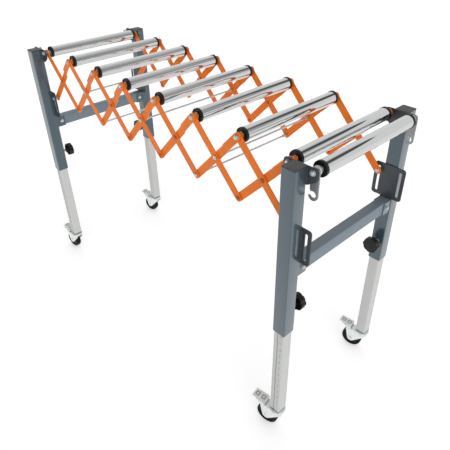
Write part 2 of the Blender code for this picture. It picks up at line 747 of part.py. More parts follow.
class Stand:
    """Places the finished pieces and keeps them by name."""

    def __init__(self, collection):
        self.collection = collection
        self.pieces = {}

    def add(self, name, mesh, finish, location, turn=(0, 0, 0), parent=None):
        """Put one piece in place, with its origin on the axis that it moves about."""
        piece = bpy.data.objects.new(name, mesh.copy())
        piece.data.name = name
        piece.data.materials.clear()
        piece.data.materials.append(material(name, finish))
        piece.data.shade_smooth()
        piece.data.set_sharp_from_angle(angle=SMOOTH_ANGLE)
        piece.location = location
        piece.rotation_euler = turn
        self.collection.objects.link(piece)
        self.hang(piece, parent)
        self.pieces[name] = piece
        return piece

    def empty(self, name, location, parent=None):
        """A marker on a joint's axis that carries the pieces of one rigid frame."""
        marker = bpy.data.objects.new(name, None)
        marker.location = location
        self.collection.objects.link(marker)
        self.hang(marker, parent)
        return marker

    def hang(self, piece, parent):
        """Parent a piece without moving it."""
        bpy.context.view_layer.update()
        if parent is not None:
            piece.parent = parent
            piece.matrix_parent_inverse = parent.matrix_world.inverted()


def build_scissor(stand, far_end):
    """The cells of links, each hung from the one before it, and their rollers; returns the last pair."""
    roller = roller_mesh()
    first = FAR_X + EAR_IN
    carrier = far_end
    plain = {sign: fall_mesh(sign, False) for sign in (-1, 1)}
    last = {sign: fall_mesh(sign, True) for sign in (-1, 1)}
    stand.add("roller_1", roller, "chrome", (first, CENTRE_Y, ROLLER_Z), parent=far_end)
    for cell in range(1, CELLS + 1):
        top = (first + (cell - 1) * PITCH, CENTRE_Y, ROLLER_Z)
        meshes = last if cell == CELLS else plain
        down = (0, REST_ANGLE, 0)
        up = (0, -REST_ANGLE, 0)
        front = stand.add(f"link_fall_{cell}_front", meshes[-1], "orange", top, down, carrier)
        stand.add(f"link_fall_{cell}_back", meshes[1], "orange", top, down, carrier)
        crossing = (top[0] + PITCH / 2, CENTRE_Y, ROLLER_Z - DROP / 2)
        pair = stand.add(f"link_rise_{cell}", rise_mesh(cell), "orange", crossing, up, front)
        next_top = (top[0] + PITCH, CENTRE_Y, ROLLER_Z)
        stand.add(f"roller_{cell + 1}", roller, "chrome", next_top, parent=pair)
        carrier = pair
    return carrier


def build_end(stand, end, carrier, post_meshes, shared):
    """One end frame with its legs, knobs and casters, hung from its marker."""
    near = end == "near"
    x = NEAR_X if near else FAR_X
    turn = 0.0 if near else HALF
    bar_place = (x, CENTRE_Y, POST_TOP - BAR_DROP)
    stand.add(f"crossbar_{end}", shared["crossbar"], "enamel", bar_place, parent=carrier)
    for side, sign in (("front", -1), ("back", 1)):
        name = f"{end}_{side}"
        y = CENTRE_Y + sign * SPAN_Y / 2
        kind = "front" if (sign < 0) == near else "back"
        top = (x, y, POST_TOP)
        post = stand.add(f"post_{name}", post_meshes[kind], "enamel", top, (0, 0, turn), carrier)
        knob_turn = (0, 0, 0.0 if sign < 0 else HALF)
        knob_place = (x, y - sign * POST_SIDE / 2, POST_TOP - KNOB_DROP)
        stand.add(f"knob_{name}", shared["knob"], "black", knob_place, knob_turn, post)
        leg = stand.add(f"leg_{name}", shared["leg"], "galvanised", (x, y, 0), parent=post)
        build_caster(stand, name, (x, y), leg, shared)


def build_caster(stand, name, place, leg, shared):
    """One caster under a leg: the fork swivels, the wheel and the brake pedal turn in it."""
    x, y = place
    heading = HEADINGS[name]
    turn = (0, 0, heading)
    fork = stand.add(f"caster_fork_{name}", shared["fork"], "zinc", (x, y, 0), turn, leg)

    def at(trail, height):
        return (x - trail * math.cos(heading), y - trail * math.sin(heading), height)

    stand.add(f"caster_wheel_{name}", shared["wheel"], "black", at(TRAIL, WHEEL_RADIUS), turn, fork)
    pedal = shared["pedal"]
    stand.add(f"brake_pedal_{name}", pedal, "zinc", at(-PEDAL_PIVOT_X, PEDAL_PIVOT_Z), turn, fork)


def main():
    stand = Stand(clear_scene())
    shared = {"crossbar": crossbar_mesh(), "knob": knob_mesh(), "leg": leg_mesh()}
    shared["fork"] = fork_mesh()
    shared["wheel"] = wheel_mesh()
    shared["pedal"] = pedal_mesh()
    shared["pedal"].transform(Matrix.Translation((-PEDAL_PIVOT_X, 0, -PEDAL_PIVOT_Z)))
    near_post = post_mesh(True)
    far_post = post_mesh(False)

    far_end = stand.empty("far_end", (FAR_X + EAR_IN, CENTRE_Y, ROLLER_Z))
    build_end(stand, "far", far_end, {"front": far_post, "back": mirrored(far_post)}, shared)
    axle = axle_mesh(PLATE_BACK + HEAD_GAP)
    stand.add("axle_far", axle, "zinc", (FAR_X + EAR_IN, CENTRE_Y, ROLLER_Z), parent=far_end)

    last_pair = build_scissor(stand, far_end)
    near_end = stand.empty("near_end", (NEAR_X - EAR_IN, CENTRE_Y, ROLLER_Z), last_pair)
    build_end(stand, "near", near_end, {"front": near_post, "back": mirrored(near_post)}, shared)
    outer = (NEAR_X + EAR_OUT, CENTRE_Y, ROLLER_Z)
    stand.add("axle_near", axle, "zinc", outer, parent=near_end)
    stand.add(f"roller_{CELLS + 2}", roller_mesh(), "chrome", outer, parent=near_end)
    stand.add("hook_front", hook_mesh(-1), "zinc", outer, parent=near_end)
    stand.add("hook_back", hook_mesh(1), "zinc", outer, parent=near_end)


main()
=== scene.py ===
"""Looks of the expanding roller stand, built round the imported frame.

Every piece is made where it stands at rest, in metres, and rides on the body that carries it.
"""
import json
import math

import bmesh
import bpy
from mathutils import Matrix, Vector


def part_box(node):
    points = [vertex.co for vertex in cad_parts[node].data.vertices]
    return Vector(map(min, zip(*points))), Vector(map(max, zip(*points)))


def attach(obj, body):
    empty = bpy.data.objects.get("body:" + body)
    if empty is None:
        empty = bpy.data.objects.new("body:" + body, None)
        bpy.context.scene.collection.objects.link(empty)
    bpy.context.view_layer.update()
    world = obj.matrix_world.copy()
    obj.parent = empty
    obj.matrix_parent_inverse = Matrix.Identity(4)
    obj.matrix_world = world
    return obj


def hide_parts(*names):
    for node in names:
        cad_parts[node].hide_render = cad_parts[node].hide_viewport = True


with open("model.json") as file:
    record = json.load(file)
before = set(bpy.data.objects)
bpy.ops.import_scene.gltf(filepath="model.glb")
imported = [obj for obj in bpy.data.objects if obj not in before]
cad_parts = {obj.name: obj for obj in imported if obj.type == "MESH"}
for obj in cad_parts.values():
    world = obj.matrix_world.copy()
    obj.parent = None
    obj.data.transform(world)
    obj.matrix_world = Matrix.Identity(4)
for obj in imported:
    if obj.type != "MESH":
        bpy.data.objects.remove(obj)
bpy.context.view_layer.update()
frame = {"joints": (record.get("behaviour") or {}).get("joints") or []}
JOINTS = {joint["name"]: joint for joint in frame["joints"]}

MM = 0.001
QUARTER = math.radians(90)
HALF = math.radians(180)
FULL = math.radians(360)
SIDES = {"front": -1, "back": 1}
ENDS = ("far", "near")
CELLS = 7
ROLLERS = CELLS + 2
UP = Vector((0, 0, 1))
WHITE = (1, 1, 1, 1)

# Clearance beside a piece, and how far a fitting sinks into what it sits on
GAP = 0.3 * MM

# Fineness of round shapes
ROUND = 48
ROLLER_ROUND = 96
HEX = 6
ARC_STEPS = 12
CORNER_STEPS = 5
TINY = 1e-6
SMOOTH_ANGLE = math.radians(35)
FLAT_ANGLE = math.radians(1)
BEVEL_STEPS = 2
EDGE_STEPS = 2
SEAT_STEPS = 3

# Eased edges, as shares of a shape's size
SHAFT_EASE = 1 / 6
RING_EASE = 1 / 5
NUT_CHAMFER = 1 / 5
DOME_EDGE = 1 / 3

# End-frame posts, caps and bushes
POST_SIDE = 42.0 * MM
POST_WALL = 1.8 * MM
POST_ROUND = 3.0 * MM
POST_LENGTH = 525.0 * MM
CAP_THICK = 3.0 * MM
CAP_SOFT = 0.9 * MM
BUSH_INNER = 36.6 * MM
BUSH_LENGTH = 29.5 * MM
BUSH_INSET = 0.5 * MM

# Plates welded to the posts
PLATE_THICK = 3.5 * MM
PLATE_HALF = 50.0 * MM
PLATE_SOFT = 0.5 * MM
EAR_IN = 35.0 * MM
EAR_OUT = 37.5 * MM
EAR_TOP = -0.5 * MM
EAR_TOP_ROUND = 12.0 * MM
EAR_CORNER = -31.0 * MM
EAR_CUT = (45.0 * MM, -36.0 * MM)
EAR_FOOT = (23.0 * MM, -50.0 * MM)
EAR_ROUND = 4.0 * MM
SLOT_PLATE_TOP = -171.0 * MM
SLOT_PLATE_BOTTOM = -279.0 * MM
SLOT_PLATE_ROUND = 10.0 * MM
SLOT_TOP = -183.0 * MM
SLOT_BOTTOM = -268.5 * MM
SLOT_WIDTH = 9.0 * MM
WELD_RADIUS = 1.6 * MM

# Crossbars and their channels
BAR_DROP = -304.0 * MM
BAR_DEPTH = 32.4 * MM
BAR_HEIGHT = 42.0 * MM
BAR_WALL = 2.0 * MM
BAR_ROUND = 3.2 * MM
CHANNEL_HALF = 19.0 * MM
CHANNEL_WALL = 2.5 * MM
CHANNEL_LENGTH = 33.0 * MM
CHANNEL_LIP = 1.0 * MM
CHANNEL_SOFT = 1.6 * MM
CHANNEL_BOLT = 18.5 * MM

# Legs and the marks along them
LEG_SIDE = 36.0 * MM
LEG_WALL = 3.6 * MM
LEG_ROUND = 2.6 * MM
LEG_BOTTOM = 96.0 * MM
LEG_LENGTH = 558.5 * MM
LEG_PLUG = 3.6 * MM
GROOVE_X = -2.8 * MM
GROOVE_WIDTH = 3.0 * MM
GROOVE_DEPTH = 2.8 * MM
STEM_RADIUS = 7.0 * MM
STEM_BOTTOM = 82.5 * MM
MARK_FIRST = 144.0 * MM
MARK_STEP = 27.0 * MM
MARK_COUNT = 16
MARK_X = 8.6 * MM
MARK_TICK = 5.0 * MM
MARK_THICK = 1.0 * MM
MARK_SIZE = 8.0 * MM
MARK_DROP = MARK_SIZE * 2 / 3
MARK_LIFT = 0.06 * MM

# Clamp knobs
KNOB_RADIUS = 25.2 * MM
KNOB_LOBE = 1.0 * MM
KNOB_LOBES = 8
KNOB_NOTCH_POWER = 3
KNOB_STEPS = 160
KNOB_FRONT = 42.0 * MM
KNOB_FLOOR = 37.5 * MM
KNOB_BACK = 23.0 * MM
KNOB_RIM = 3.4 * MM
KNOB_SOFT = 1.5 * MM
KNOB_RIB_HALF = 1.0 * MM
KNOB_RIB_BACK = 28.0 * MM
KNOB_BUTTON = 14.0 * MM
KNOB_BUTTON_RISE = 1.2 * MM
KNOB_HUB_WIDE = 10.0 * MM
KNOB_HUB_SLIM = 8.5 * MM
KNOB_HUB_END = 13.0 * MM
STUD_RADIUS = 4.0 * MM
STUD_TIP = -2.7 * MM
CLAMP_NUT = 6.0 * MM
CLAMP_NUT_RADIUS = 9.0 * MM

# Scissor links and the layers that they lie in, outwards from the middle of the stand
LINK_WIDTH = 24.0 * MM
LINK_THICK = 3.2 * MM
LINK_SOFT = 0.4 * MM
FALL_LAYER = 204.0 * MM
RISE_LAYER = 200.3 * MM
RISE_TOP_LAYER = 207.7 * MM
JOGGLE_START = 46.0 * MM
JOGGLE_END = 66.0 * MM
JOGGLE_CUTS = 8
AXLE_RADIUS = 5.0 * MM
PIN_RADIUS = 4.0 * MM
ROD_RADIUS = 3.0 * MM
ROD_SLEEVE = 5.0 * MM
ROD_SLEEVE_LENGTH = 16.0 * MM
RIVET_RADIUS = 7.0 * MM
RIVET_RISE = 2.6 * MM
RIVET_INNER = 1.8 * MM
NUT_RADIUS = 7.0 * MM
NUT_HEIGHT = 6.0 * MM
PIN_NUT_HEIGHT = 4.0 * MM
STUD_PROUD = 1.6 * MM
WASHER = 1.2 * MM
SLEEVE_RADIUS = 7.0 * MM
MID_RODS = (2, 4, 6)
LOW_RODS = (3, 6)

# Rollers
ROLLER_HALF = 191.5 * MM
ROLLER_RADIUS = 19.2 * MM
ROLLER_WALL = 1.6 * MM
RING_RADIUS = 20.5 * MM
RING_LENGTH = 8.5 * MM
RING_LIP = 16.8 * MM
RING_DISH = 1.8 * MM
RING_HUB = 11.2 * MM
RING_BORE = 9.0 * MM
RING_SOFT = 1.1 * MM
BEARING_BORE = 5.2 * MM
BEARING_GROOVE = 0.6 * MM

# Linking hooks
HOOK_THICK = 4.0 * MM
HOOK_SOFT = 0.6 * MM
HOOK_EYE_X = 2.5 * MM
HOOK_HALF = 12.5 * MM
HOOK_LEFT = -9.0 * MM
HOOK_SHOULDER = -46.0 * MM
HOOK_CURVE = (1.5 * MM, -61.0 * MM)
HOOK_CURVE_RADIUS = 13.5 * MM
HOOK_TIP = math.radians(-171)
NOTCH = (0.5 * MM, -58.5 * MM)
NOTCH_RADIUS = 9.0 * MM
NOTCH_START = math.radians(135)
NOTCH_END = math.radians(-157.5)
HOOK_WASHER = 12.3 * MM
CATCH_REACH = 18.0 * MM
CATCH_FLANGE = 3.0 * MM
CATCH_FLANGE_RADIUS = 8.0 * MM

# Casters, in a frame under the swivel whose X points away from the trailing wheel
TRAIL = -35.0 * MM
WHEEL_RADIUS = 37.5 * MM
WHEEL_HALF = 12.0 * MM
TYRE_INNER = 26.0 * MM
TYRE_SHOULDER = 34.0 * MM
TYRE_TREAD = 8.5 * MM
TYRE_SOFT = 2.4 * MM
WHEEL_DISH = 9.5 * MM
WHEEL_HUB = 12.6 * MM
WHEEL_HUB_RADIUS = 11.0 * MM
WHEEL_BORE = 4.5 * MM
FORK_INNER = 13.2 * MM
FORK_THICK = 2.0 * MM
FORK_SOFT = 0.7 * MM
FORK_TOP = 83.0 * MM
FORK_SHOULDER = 75.0 * MM
FORK_FRONT = 22.0 * MM
FORK_BACK = -58.0 * MM
FORK_BOSS = 14.0 * MM
BRIDGE_BACK = -40.0 * MM
BRIDGE_THICK = 3.0 * MM
BRIDGE_ROUND = 5.0 * MM
HEAD_TOP = 92.0 * MM
HEAD_TOP_RADIUS = 18.0 * MM
HEAD_RIM = 24.5 * MM
HEAD_RIM_TOP = 89.5 * MM
HEAD_RIM_LOW = 85.0 * MM
HEAD_RACE = 22.4 * MM
HEAD_RACE_HALF = 0.5 * MM
HEAD_FOOT_RADIUS = 19.0 * MM
HEAD_FOOT = 81.5 * MM
HEAD_SOFT = 1.4 * MM
WHEEL_NUT = 3.4 * MM
WHEEL_NUT_RADIUS = 6.5 * MM
PEDAL_PIVOT = (-47.0 * MM, 81.0 * MM)
PEDAL_EYE = 5.5 * MM
PEDAL_INNER = 15.6 * MM
PEDAL_OUTER = 17.6 * MM
PEDAL_HALF = 16.0 * MM
PEDAL_FRONT = (-40.0 * MM, 97.0 * MM)
PEDAL_BACK = (-89.0 * MM, 101.8 * MM)
PEDAL_CHEEK_FRONT = (-40.0 * MM, 95.5 * MM)
PEDAL_CHEEK_BACK = (-76.0 * MM, 99.6 * MM)
PEDAL_THICK = 2.5 * MM
PEDAL_ROUND = 4.0 * MM
PEDAL_RIVET = 3.6 * MM
PEDAL_RIVET_REACH = 19.0 * MM
PAD_OUTER = 15.0 * MM
PAD_INNER = 8.0 * MM
PAD_RISE = 1.0 * MM
PAD_ROUND = 1.6 * MM
PAD_OFFSET = 11.5 * MM
LIP_LOW = (-42.0 * MM, -16.5 * MM, 85.5 * MM)
LIP_HIGH = (-40.0 * MM, 16.5 * MM, 97.5 * MM)
SHOE_LOW = (-62.0 * MM, -9.0 * MM, 74.5 * MM)
SHOE_HIGH = (-59.0 * MM, 9.0 * MM, 98.0 * MM)

# Patterns and shine of the finishes
PATTERN_SPAN = (0.3, 0.7)
GRAIN_DEPTH = 0.2 * MM
PAINT_TINT = (0.62, 0.92, 1.0, 1.0)

# The photograph's view, with its turn in degrees
CAMERA_PLACE = (1.2798, -0.9784, 1.4881)
CAMERA_TURN = (56.480, 0.630, 46.753)
CAMERA_LENS = 38.58
CAMERA_SENSOR = 36.0
CAMERA_SHIFT = (-0.01556, -0.0359)

# The studio
FLOOR_HALF = 40.0
FLOOR_COLOUR = (0.92, 0.92, 0.92)
FLOOR_ROUGHNESS = 0.9
FLOOR_SPECULAR = 0.1
FLOOR_GLOW = 0.38
WALL_PLANE = (0.21, -0.77, 1.0)
WALL_EDGE = (0.0, 0.005)
WALL_LEVEL = 0.95
BACK_LEVELS = (1.25, 0.27)
FRONT_SPAN = (-0.3, 1.0)
FRONT_LEVELS = (0.15, 2.0)
FRONT_EDGE = (-0.25, 0.25)
SHADE_CENTRE = (0.18, 0.76, 0.62)
SHADE_EDGE = (0.955, 0.988)
SHADE_LEVELS = (1.0, 0.15)


def spot(joint):
    """Where a joint of the frame is."""
    return Vector(JOINTS[joint]["pos_m"])


def axes(origin, along, looking):
    """The frame at a point whose X runs along one direction and whose Z looks along another."""
    x = Vector(along).normalized()
    z = Vector(looking).normalized()
    turn = Matrix((x, z.cross(x), z)).transposed().to_4x4()
    return Matrix.Translation(origin) @ turn


def outward(point, sign):
    """The frame at a point whose Z looks along Y, to the side that the sign gives, and whose Y is up."""
    return axes(point, (-sign, 0, 0), (0, sign, 0))


def downward(z):
    """Turns a shape over, so that its top points down from the given height."""
    return axes((0, 0, z), (1, 0, 0), (0, 0, -1))


def mid_frame(point, sign=1):
    """The outward frame at a pivot, in the middle of the stand."""
    return outward((point.x, spot("scissor").y, point.z), sign)


def arc(centre, radius, start, end, steps=ARC_STEPS):
    """Points on an arc, both ends included."""
    turn = (end - start) / steps
    angles = [start + i * turn for i in range(steps + 1)]
    return [(centre[0] + radius * math.cos(a), centre[1] + radius * math.sin(a)) for a in angles]


def circle(centre, radius, steps=ROUND // 2):
    """Points round a circle."""
    return arc(centre, radius, 0, FULL, steps)[:-1]


def softened(points, radii, steps=CORNER_STEPS):
    """A closed outline with its corners drawn as curves of about the given radii."""
    if not isinstance(radii, (list, tuple)):
        radii = [radii] * len(points)
    out = []
    for i, (point, radius) in enumerate(zip(points, radii)):
        here = Vector(point)
        before = Vector(points[i - 1]) - here
        after = Vector(points[(i + 1) % len(points)]) - here
        reach = min(radius, before.length / 2, after.length / 2)
        if reach < TINY:
            out.append(tuple(here))
            continue
        first = here + before.normalized() * reach
        last = here + after.normalized() * reach
        for k in range(steps + 1):
            t = k / steps
            out.append(tuple(first * (1 - t) ** 2 + here * 2 * t * (1 - t) + last * t ** 2))
    return out


def symmetric(half, radii, flip):
    """A softened outline from one half of it and the same half flipped."""
    other = [(x * flip[0], y * flip[1]) for x, y in reversed(half)]
    return softened(half + other, radii + radii[::-1])


def rectangle(width, height, radius, middle=0.0):
    """A rectangle with rounded corners, centred on x = 0."""
    a, b = width / 2, height / 2
    corners = [(a, middle - b), (a, middle + b), (-a, middle + b), (-a, middle - b)]
    return softened(corners, radius)


def capsule(low, high, half):
    """A bar's outline with round ends about x = low and x = high."""
    right = arc((high, 0), half, -QUARTER, QUARTER)
    return right + arc((low, 0), half, QUARTER, 3 * QUARTER)


def upright_slot(x, low, high, width):
    """An upright slot with round ends."""
    radius = width / 2
    return [(x - across, up) for up, across in capsule(low + radius, high - radius, radius)]


def hull(points):
    """The outline that a cord drawn tight round the points would take."""
    points = sorted(set(points))
    chains = []
    for run in (points, points[::-1]):
        chain = []
        for p in run:
            while len(chain) > 1:
                (ax, ay), (bx, by) = chain[-2], chain[-1]
                if (bx - ax) * (p[1] - ay) - (by - ay) * (p[0] - ax) > 0:
                    break
                chain.pop()
            chain.append(p)
        chains.append(chain[:-1])
    return chains[0] + chains[1]


def to_mesh(bm, name):
    """The finished mesh of a bmesh, with its faces turned out."""
    bmesh.ops.recalc_face_normals(bm, faces=bm.faces)
    mesh = bpy.data.meshes.new(name)
    bm.to_mesh(mesh)
    bm.free()
    return mesh


def placed(name, data):
    """A new object in the scene."""
    obj = bpy.data.objects.new(name, data)
    bpy.context.scene.collection.objects.link(obj)
    return obj


def mesh_of(curve):
    """The mesh that a curve or a text makes."""
    obj = placed(curve.name, curve)
    bpy.context.view_layer.update()
    mesh = bpy.data.meshes.new_from_object(obj.evaluated_get(bpy.context.evaluated_depsgraph_get()))
    bpy.data.objects.remove(obj)
    return mesh


def sheet(outlines, thickness):
    """A plate in the XY plane, centred on it: the first outline is its edge, the rest are its holes."""
    curve = bpy.data.curves.new("outline", "CURVE")
    curve.dimensions = "2D"
    curve.fill_mode = "BOTH"
    curve.extrude = thickness / 2
    for points in outlines:
        spline = curve.splines.new("POLY")
        spline.points.add(len(points) - 1)
        for target, (x, y) in zip(spline.points, points):
            target.co = (x, y, 0.0, 1.0)
        spline.use_cyclic_u = True
    bm = bmesh.new()
    bm.from_mesh(mesh_of(curve))
    bmesh.ops.remove_doubles(bm, verts=bm.verts, dist=TINY)
    bmesh.ops.dissolve_limit(bm, angle_limit=FLAT_ANGLE, verts=bm.verts, edges=bm.edges)
    return to_mesh(bm, "sheet")


def lathe(profile, sides=ROUND):
    """A closed profile of (radius, height) points turned about Z."""
    bm = bmesh.new()
    verts = [bm.verts.new((r, 0, h)) for r, h in profile]
    edges = []
    for a, b in zip(verts, verts[1:] + verts[:1]):
        if a.co.x > TINY or b.co.x > TINY:
            edges.append(bm.edges.new((a, b)))
    bmesh.ops.spin(bm, geom=verts + edges, axis=UP, cent=(0, 0, 0), angle=FULL, steps=sides)
    bmesh.ops.remove_doubles(bm, verts=bm.verts, dist=TINY)
    return to_mesh(bm, "turned")


def block(low, high):
    """A rectangular block between two corners."""
    bm = bmesh.new()
    bmesh.ops.create_cube(bm, size=1.0)
    size = [b - a for a, b in zip(low, high)]
    bmesh.ops.scale(bm, vec=size, verts=bm.verts)
    bmesh.ops.translate(bm, vec=[(a + b) / 2 for a, b in zip(low, high)], verts=bm.verts)
    return to_mesh(bm, "block")


def moved(mesh, matrix):
    """A copy of a mesh in another place."""
    out = mesh.copy()
    out.transform(matrix)
    return out


def shifted(mesh, offset):
    """A copy of a mesh, moved by an offset."""
    return moved(mesh, Matrix.Translation(offset))


def joined(meshes):
    """Several meshes as one."""
    bm = bmesh.new()
    for mesh in meshes:
        bm.from_mesh(mesh)
    return to_mesh(bm, "joined")


def shaft(radius, low, high, sides=ROUND // 2):
    """A round bar about Z with eased ends."""
    ease = radius * SHAFT_EASE
    corners = [(0, high), (radius, high), (radius, low), (0, low)]
    return lathe(softened(corners, [0, ease, ease, 0], EDGE_STEPS), sides)


def ring(inner, outer, low, high):
    """A washer or sleeve about Z with eased edges."""
    ease = min(outer - inner, high - low) * RING_EASE
    corners = [(inner, high), (outer, high), (outer, low), (inner, low)]
    return lathe(softened(corners, ease, EDGE_STEPS))


def nut(radius, height, stud, low=0.0):
    """A chamfered hexagon nut on the end of a stud, standing up from the given height."""
    chamfer = height * NUT_CHAMFER
    high = low + height
    body = [(0, high), (radius - chamfer, high), (radius, high - chamfer), (radius, low), (0, low)]
    return joined([lathe(body, HEX), shaft(stud, low, high + STUD_PROUD)])


def dome(radius, rise, low=0.0):
    """A low domed rivet head."""
    edge = rise * DOME_EDGE
    angles = [QUARTER * i / ARC_STEPS for i in range(ARC_STEPS)]
    curve = [(radius * math.cos(a), low + edge + (rise - edge) * math.sin(a)) for a in angles]
    return lathe([(0, low + rise)] + curve[::-1] + [(radius, low), (0, low)])


def ramp(tree, value, span, levels):
    """A level that goes with a value, held at both ends of its span."""
    node = tree.nodes.new("ShaderNodeMapRange")
    node.inputs["From Min"].default_value, node.inputs["From Max"].default_value = span
    node.inputs["To Min"].default_value, node.inputs["To Max"].default_value = levels
    tree.links.new(value, node.inputs["Value"])
    return node.outputs["Result"]


# Finishes
class Finish:
    """A Principled material with values that are the same all over, and patterns that vary them."""

    def __init__(self, name, colour, roughness, metallic=0.0, specular=0.5):
        self.colour = colour
        self.material = bpy.data.materials.new(name)
        self.material.use_nodes = True
        self.tree = self.material.node_tree
        self.shader = self.tree.nodes["Principled BSDF"]
        self.put("Base Color", (*colour, 1.0))
        self.put("Roughness", roughness)
        self.put("Metallic", metallic)
        self.put("Specular IOR Level", specular)

    def put(self, socket, value):
        """Gives one socket of the shader a value."""
        self.shader.inputs[socket].default_value = value

    def noise(self, scale, detail=3.0, stretch=(1, 1, 1)):
        """A noise pattern in the piece's own metres, drawn out along the axes that stretch makes small."""
        place = self.tree.nodes.new("ShaderNodeTexCoord")
        mapping = self.tree.nodes.new("ShaderNodeMapping")
        mapping.inputs["Scale"].default_value = stretch
        pattern = self.tree.nodes.new("ShaderNodeTexNoise")
        pattern.inputs["Scale"].default_value = scale
        pattern.inputs["Detail"].default_value = detail
        self.tree.links.new(place.outputs["Object"], mapping.inputs["Vector"])
        self.tree.links.new(mapping.outputs["Vector"], pattern.inputs["Vector"])
        return pattern.outputs["Fac"]

    def tone(self, scale, spread, **pattern):
        """Colour that drifts a little darker and lighter."""
        node = self.tree.nodes.new("ShaderNodeValToRGB")
        for stop, position, sign in zip(node.color_ramp.elements, PATTERN_SPAN, (-1, 1)):
            stop.position = position
            stop.color = (*[min(1.0, c * (1 + sign * spread)) for c in self.colour], 1.0)
        self.tree.links.new(self.noise(scale, **pattern), node.inputs["Fac"])
        self.tree.links.new(node.outputs["Color"], self.shader.inputs["Base Color"])
        return self

    def gloss(self, scale, low, high, **pattern):
        """Roughness that wanders between two values."""
        level = ramp(self.tree, self.noise(scale, **pattern), PATTERN_SPAN, (low, high))
        self.tree.links.new(level, self.shader.inputs["Roughness"])
        return self

    def relief(self, scale, strength, depth=GRAIN_DEPTH, detail=2.0, **pattern):
        """A fine bump."""
        bump = self.tree.nodes.new("ShaderNodeBump")
        bump.inputs["Strength"].default_value = strength
        bump.inputs["Distance"].default_value = depth
        self.tree.links.new(self.noise(scale, detail, **pattern), bump.inputs["Height"])
        self.tree.links.new(bump.outputs["Normal"], self.shader.inputs["Normal"])
        return self


def paint(name, colour, roughness, low, high):
    """Blue-grey paint with a cool shine and a faint orange peel."""
    coat = Finish(name, colour, roughness)
    coat.put("Specular Tint", PAINT_TINT)
    return coat.tone(6, 0.03).gloss(30, low, high).relief(260, 0.015, 0.5 * MM, detail=1.0)


def enamel():
    """Dark paint with a strong gloss, on the posts."""
    coat = paint("blue_grey_enamel", (0.042, 0.064, 0.086), 0.30, 0.28, 0.33)
    coat.put("Coat Weight", 1.0)
    coat.put("Coat Roughness", 0.15)
    return coat


def bar_enamel():
    """Lighter paint with less gloss, on the crossbars."""
    return paint("blue_grey_satin", (0.165, 0.200, 0.235), 0.42, 0.38, 0.46)


def charcoal():
    """Fine-grained dark powder coat on the welded plates."""
    coat = Finish("charcoal_powder_coat", (0.035, 0.042, 0.050), 0.42)
    return coat.tone(30, 0.12).gloss(60, 0.34, 0.50).relief(1500, 0.18)


def orange():
    """Satin orange powder coat of the links; on the roller sleeves it is a painted reflection of the links.
    """
    coat = Finish("orange_powder_coat_and_painted_reflection", (0.81, 0.178, 0.009), 0.38, specular=0.2)
    return coat.tone(22, 0.06).gloss(70, 0.30, 0.46).relief(1100, 0.12)


def rivet_painted_shade():
    """Darker orange on the rivet heads: painted shade for the shadow round each head."""
    coat = Finish("orange_rivet_painted_shade", (0.40, 0.082, 0.007), 0.34, specular=0.3)
    return coat.tone(90, 0.15).gloss(120, 0.28, 0.42)


def chrome():
    """Polished chrome on a drawn tube, with faint lines along it."""
    metal = Finish("polished_chrome", (0.60, 0.61, 0.61), 0.07, 1.0)
    drawn = {"detail": 2.0, "stretch": (1.0, 0.02, 1.0)}
    return metal.tone(260, 0.02, **drawn).gloss(260, 0.025, 0.045, **drawn)


def zinc():
    """Bright zinc plate, slightly blue and cloudy."""
    metal = Finish("bright_zinc", (0.80, 0.84, 0.83), 0.32, 0.5)
    return metal.tone(120, 0.10).gloss(180, 0.26, 0.40).relief(900, 0.03)


def plated():
    """Plated steel of the nuts, bolts and axles."""
    metal = Finish("plated_steel", (0.56, 0.58, 0.58), 0.30, 0.85)
    return metal.tone(150, 0.10).gloss(200, 0.22, 0.38)


def pedal_zinc():
    """Worn grey zinc on the brake pedals."""
    metal = Finish("worn_zinc", (0.72, 0.75, 0.72), 0.42, 0.5)
    return metal.tone(140, 0.15).gloss(180, 0.34, 0.52).relief(900, 0.05)


def steel():
    """Plain grey plated steel plate of the hooks; on the pedal pads the darker grey is painted shade along
    their raised edges.
    """
    metal = Finish("grey_steel_and_painted_shade", (0.30, 0.31, 0.315), 0.36, 0.85)
    return metal.tone(90, 0.12).gloss(140, 0.28, 0.44).relief(900, 0.10)


def galvanised():
    """Matt silver tube with fine lines down its length."""
    metal = Finish("silver_tube", (0.545, 0.555, 0.545), 0.48, 0.12)
    drawn = {"detail": 3.0, "stretch": (1.0, 1.0, 0.03)}
    metal.tone(420, 0.05, **drawn).gloss(420, 0.40, 0.56, **drawn)
    return metal.relief(420, 0.10, GRAIN_DEPTH / 2, **drawn)


def black_plastic():
    """Moulded black plastic with a fine grain."""
    plastic = Finish("black_plastic", (0.005, 0.005, 0.0055), 0.40, specular=0.28)
    return plastic.tone(60, 0.20).gloss(200, 0.30, 0.46).relief(1800, 0.16)


def cap_plastic():
    """Dark grey moulded plastic of the post caps."""
    plastic = Finish("grey_plastic", (0.042, 0.042, 0.044), 0.52)
    return plastic.tone(60, 0.15).gloss(160, 0.44, 0.60).relief(1800, 0.22)


def rubber():
    """Black tyre rubber, dusty and soft in its gloss."""
    tyre = Finish("tyre_rubber", (0.006, 0.0065, 0.007), 0.60, specular=0.16)
    return tyre.tone(80, 0.30).gloss(120, 0.50, 0.72).relief(1300, 0.25, 0.3 * MM, detail=3.0)


def ink():
    """Dark print of the leg scales."""
    return Finish("scale_ink", (0.05, 0.05, 0.05), 0.55).tone(400, 0.35)


FINISHES = {
    "enamel": (enamel(), "enamel"),
    "bar_enamel": (bar_enamel(), "enamel"),
    "charcoal": (charcoal(), "enamel"),
    "orange": (orange(), "orange"),
    "rivet": (rivet_painted_shade(), "orange"),
    "chrome": (chrome(), "chrome"),
    "zinc": (zinc(), "zinc"),
    "plated": (plated(), "zinc"),
    "pedal": (pedal_zinc(), "zinc"),
    "steel": (steel(), "zinc"),
    "galvanised": (galvanised(), "galvanised"),
    "black": (black_plastic(), "black_plastic"),
    "cap": (cap_plastic(), "black_plastic"),
    "rubber": (rubber(), "wheel_rubber"),
    "ink": (ink(), "black_plastic"),
}


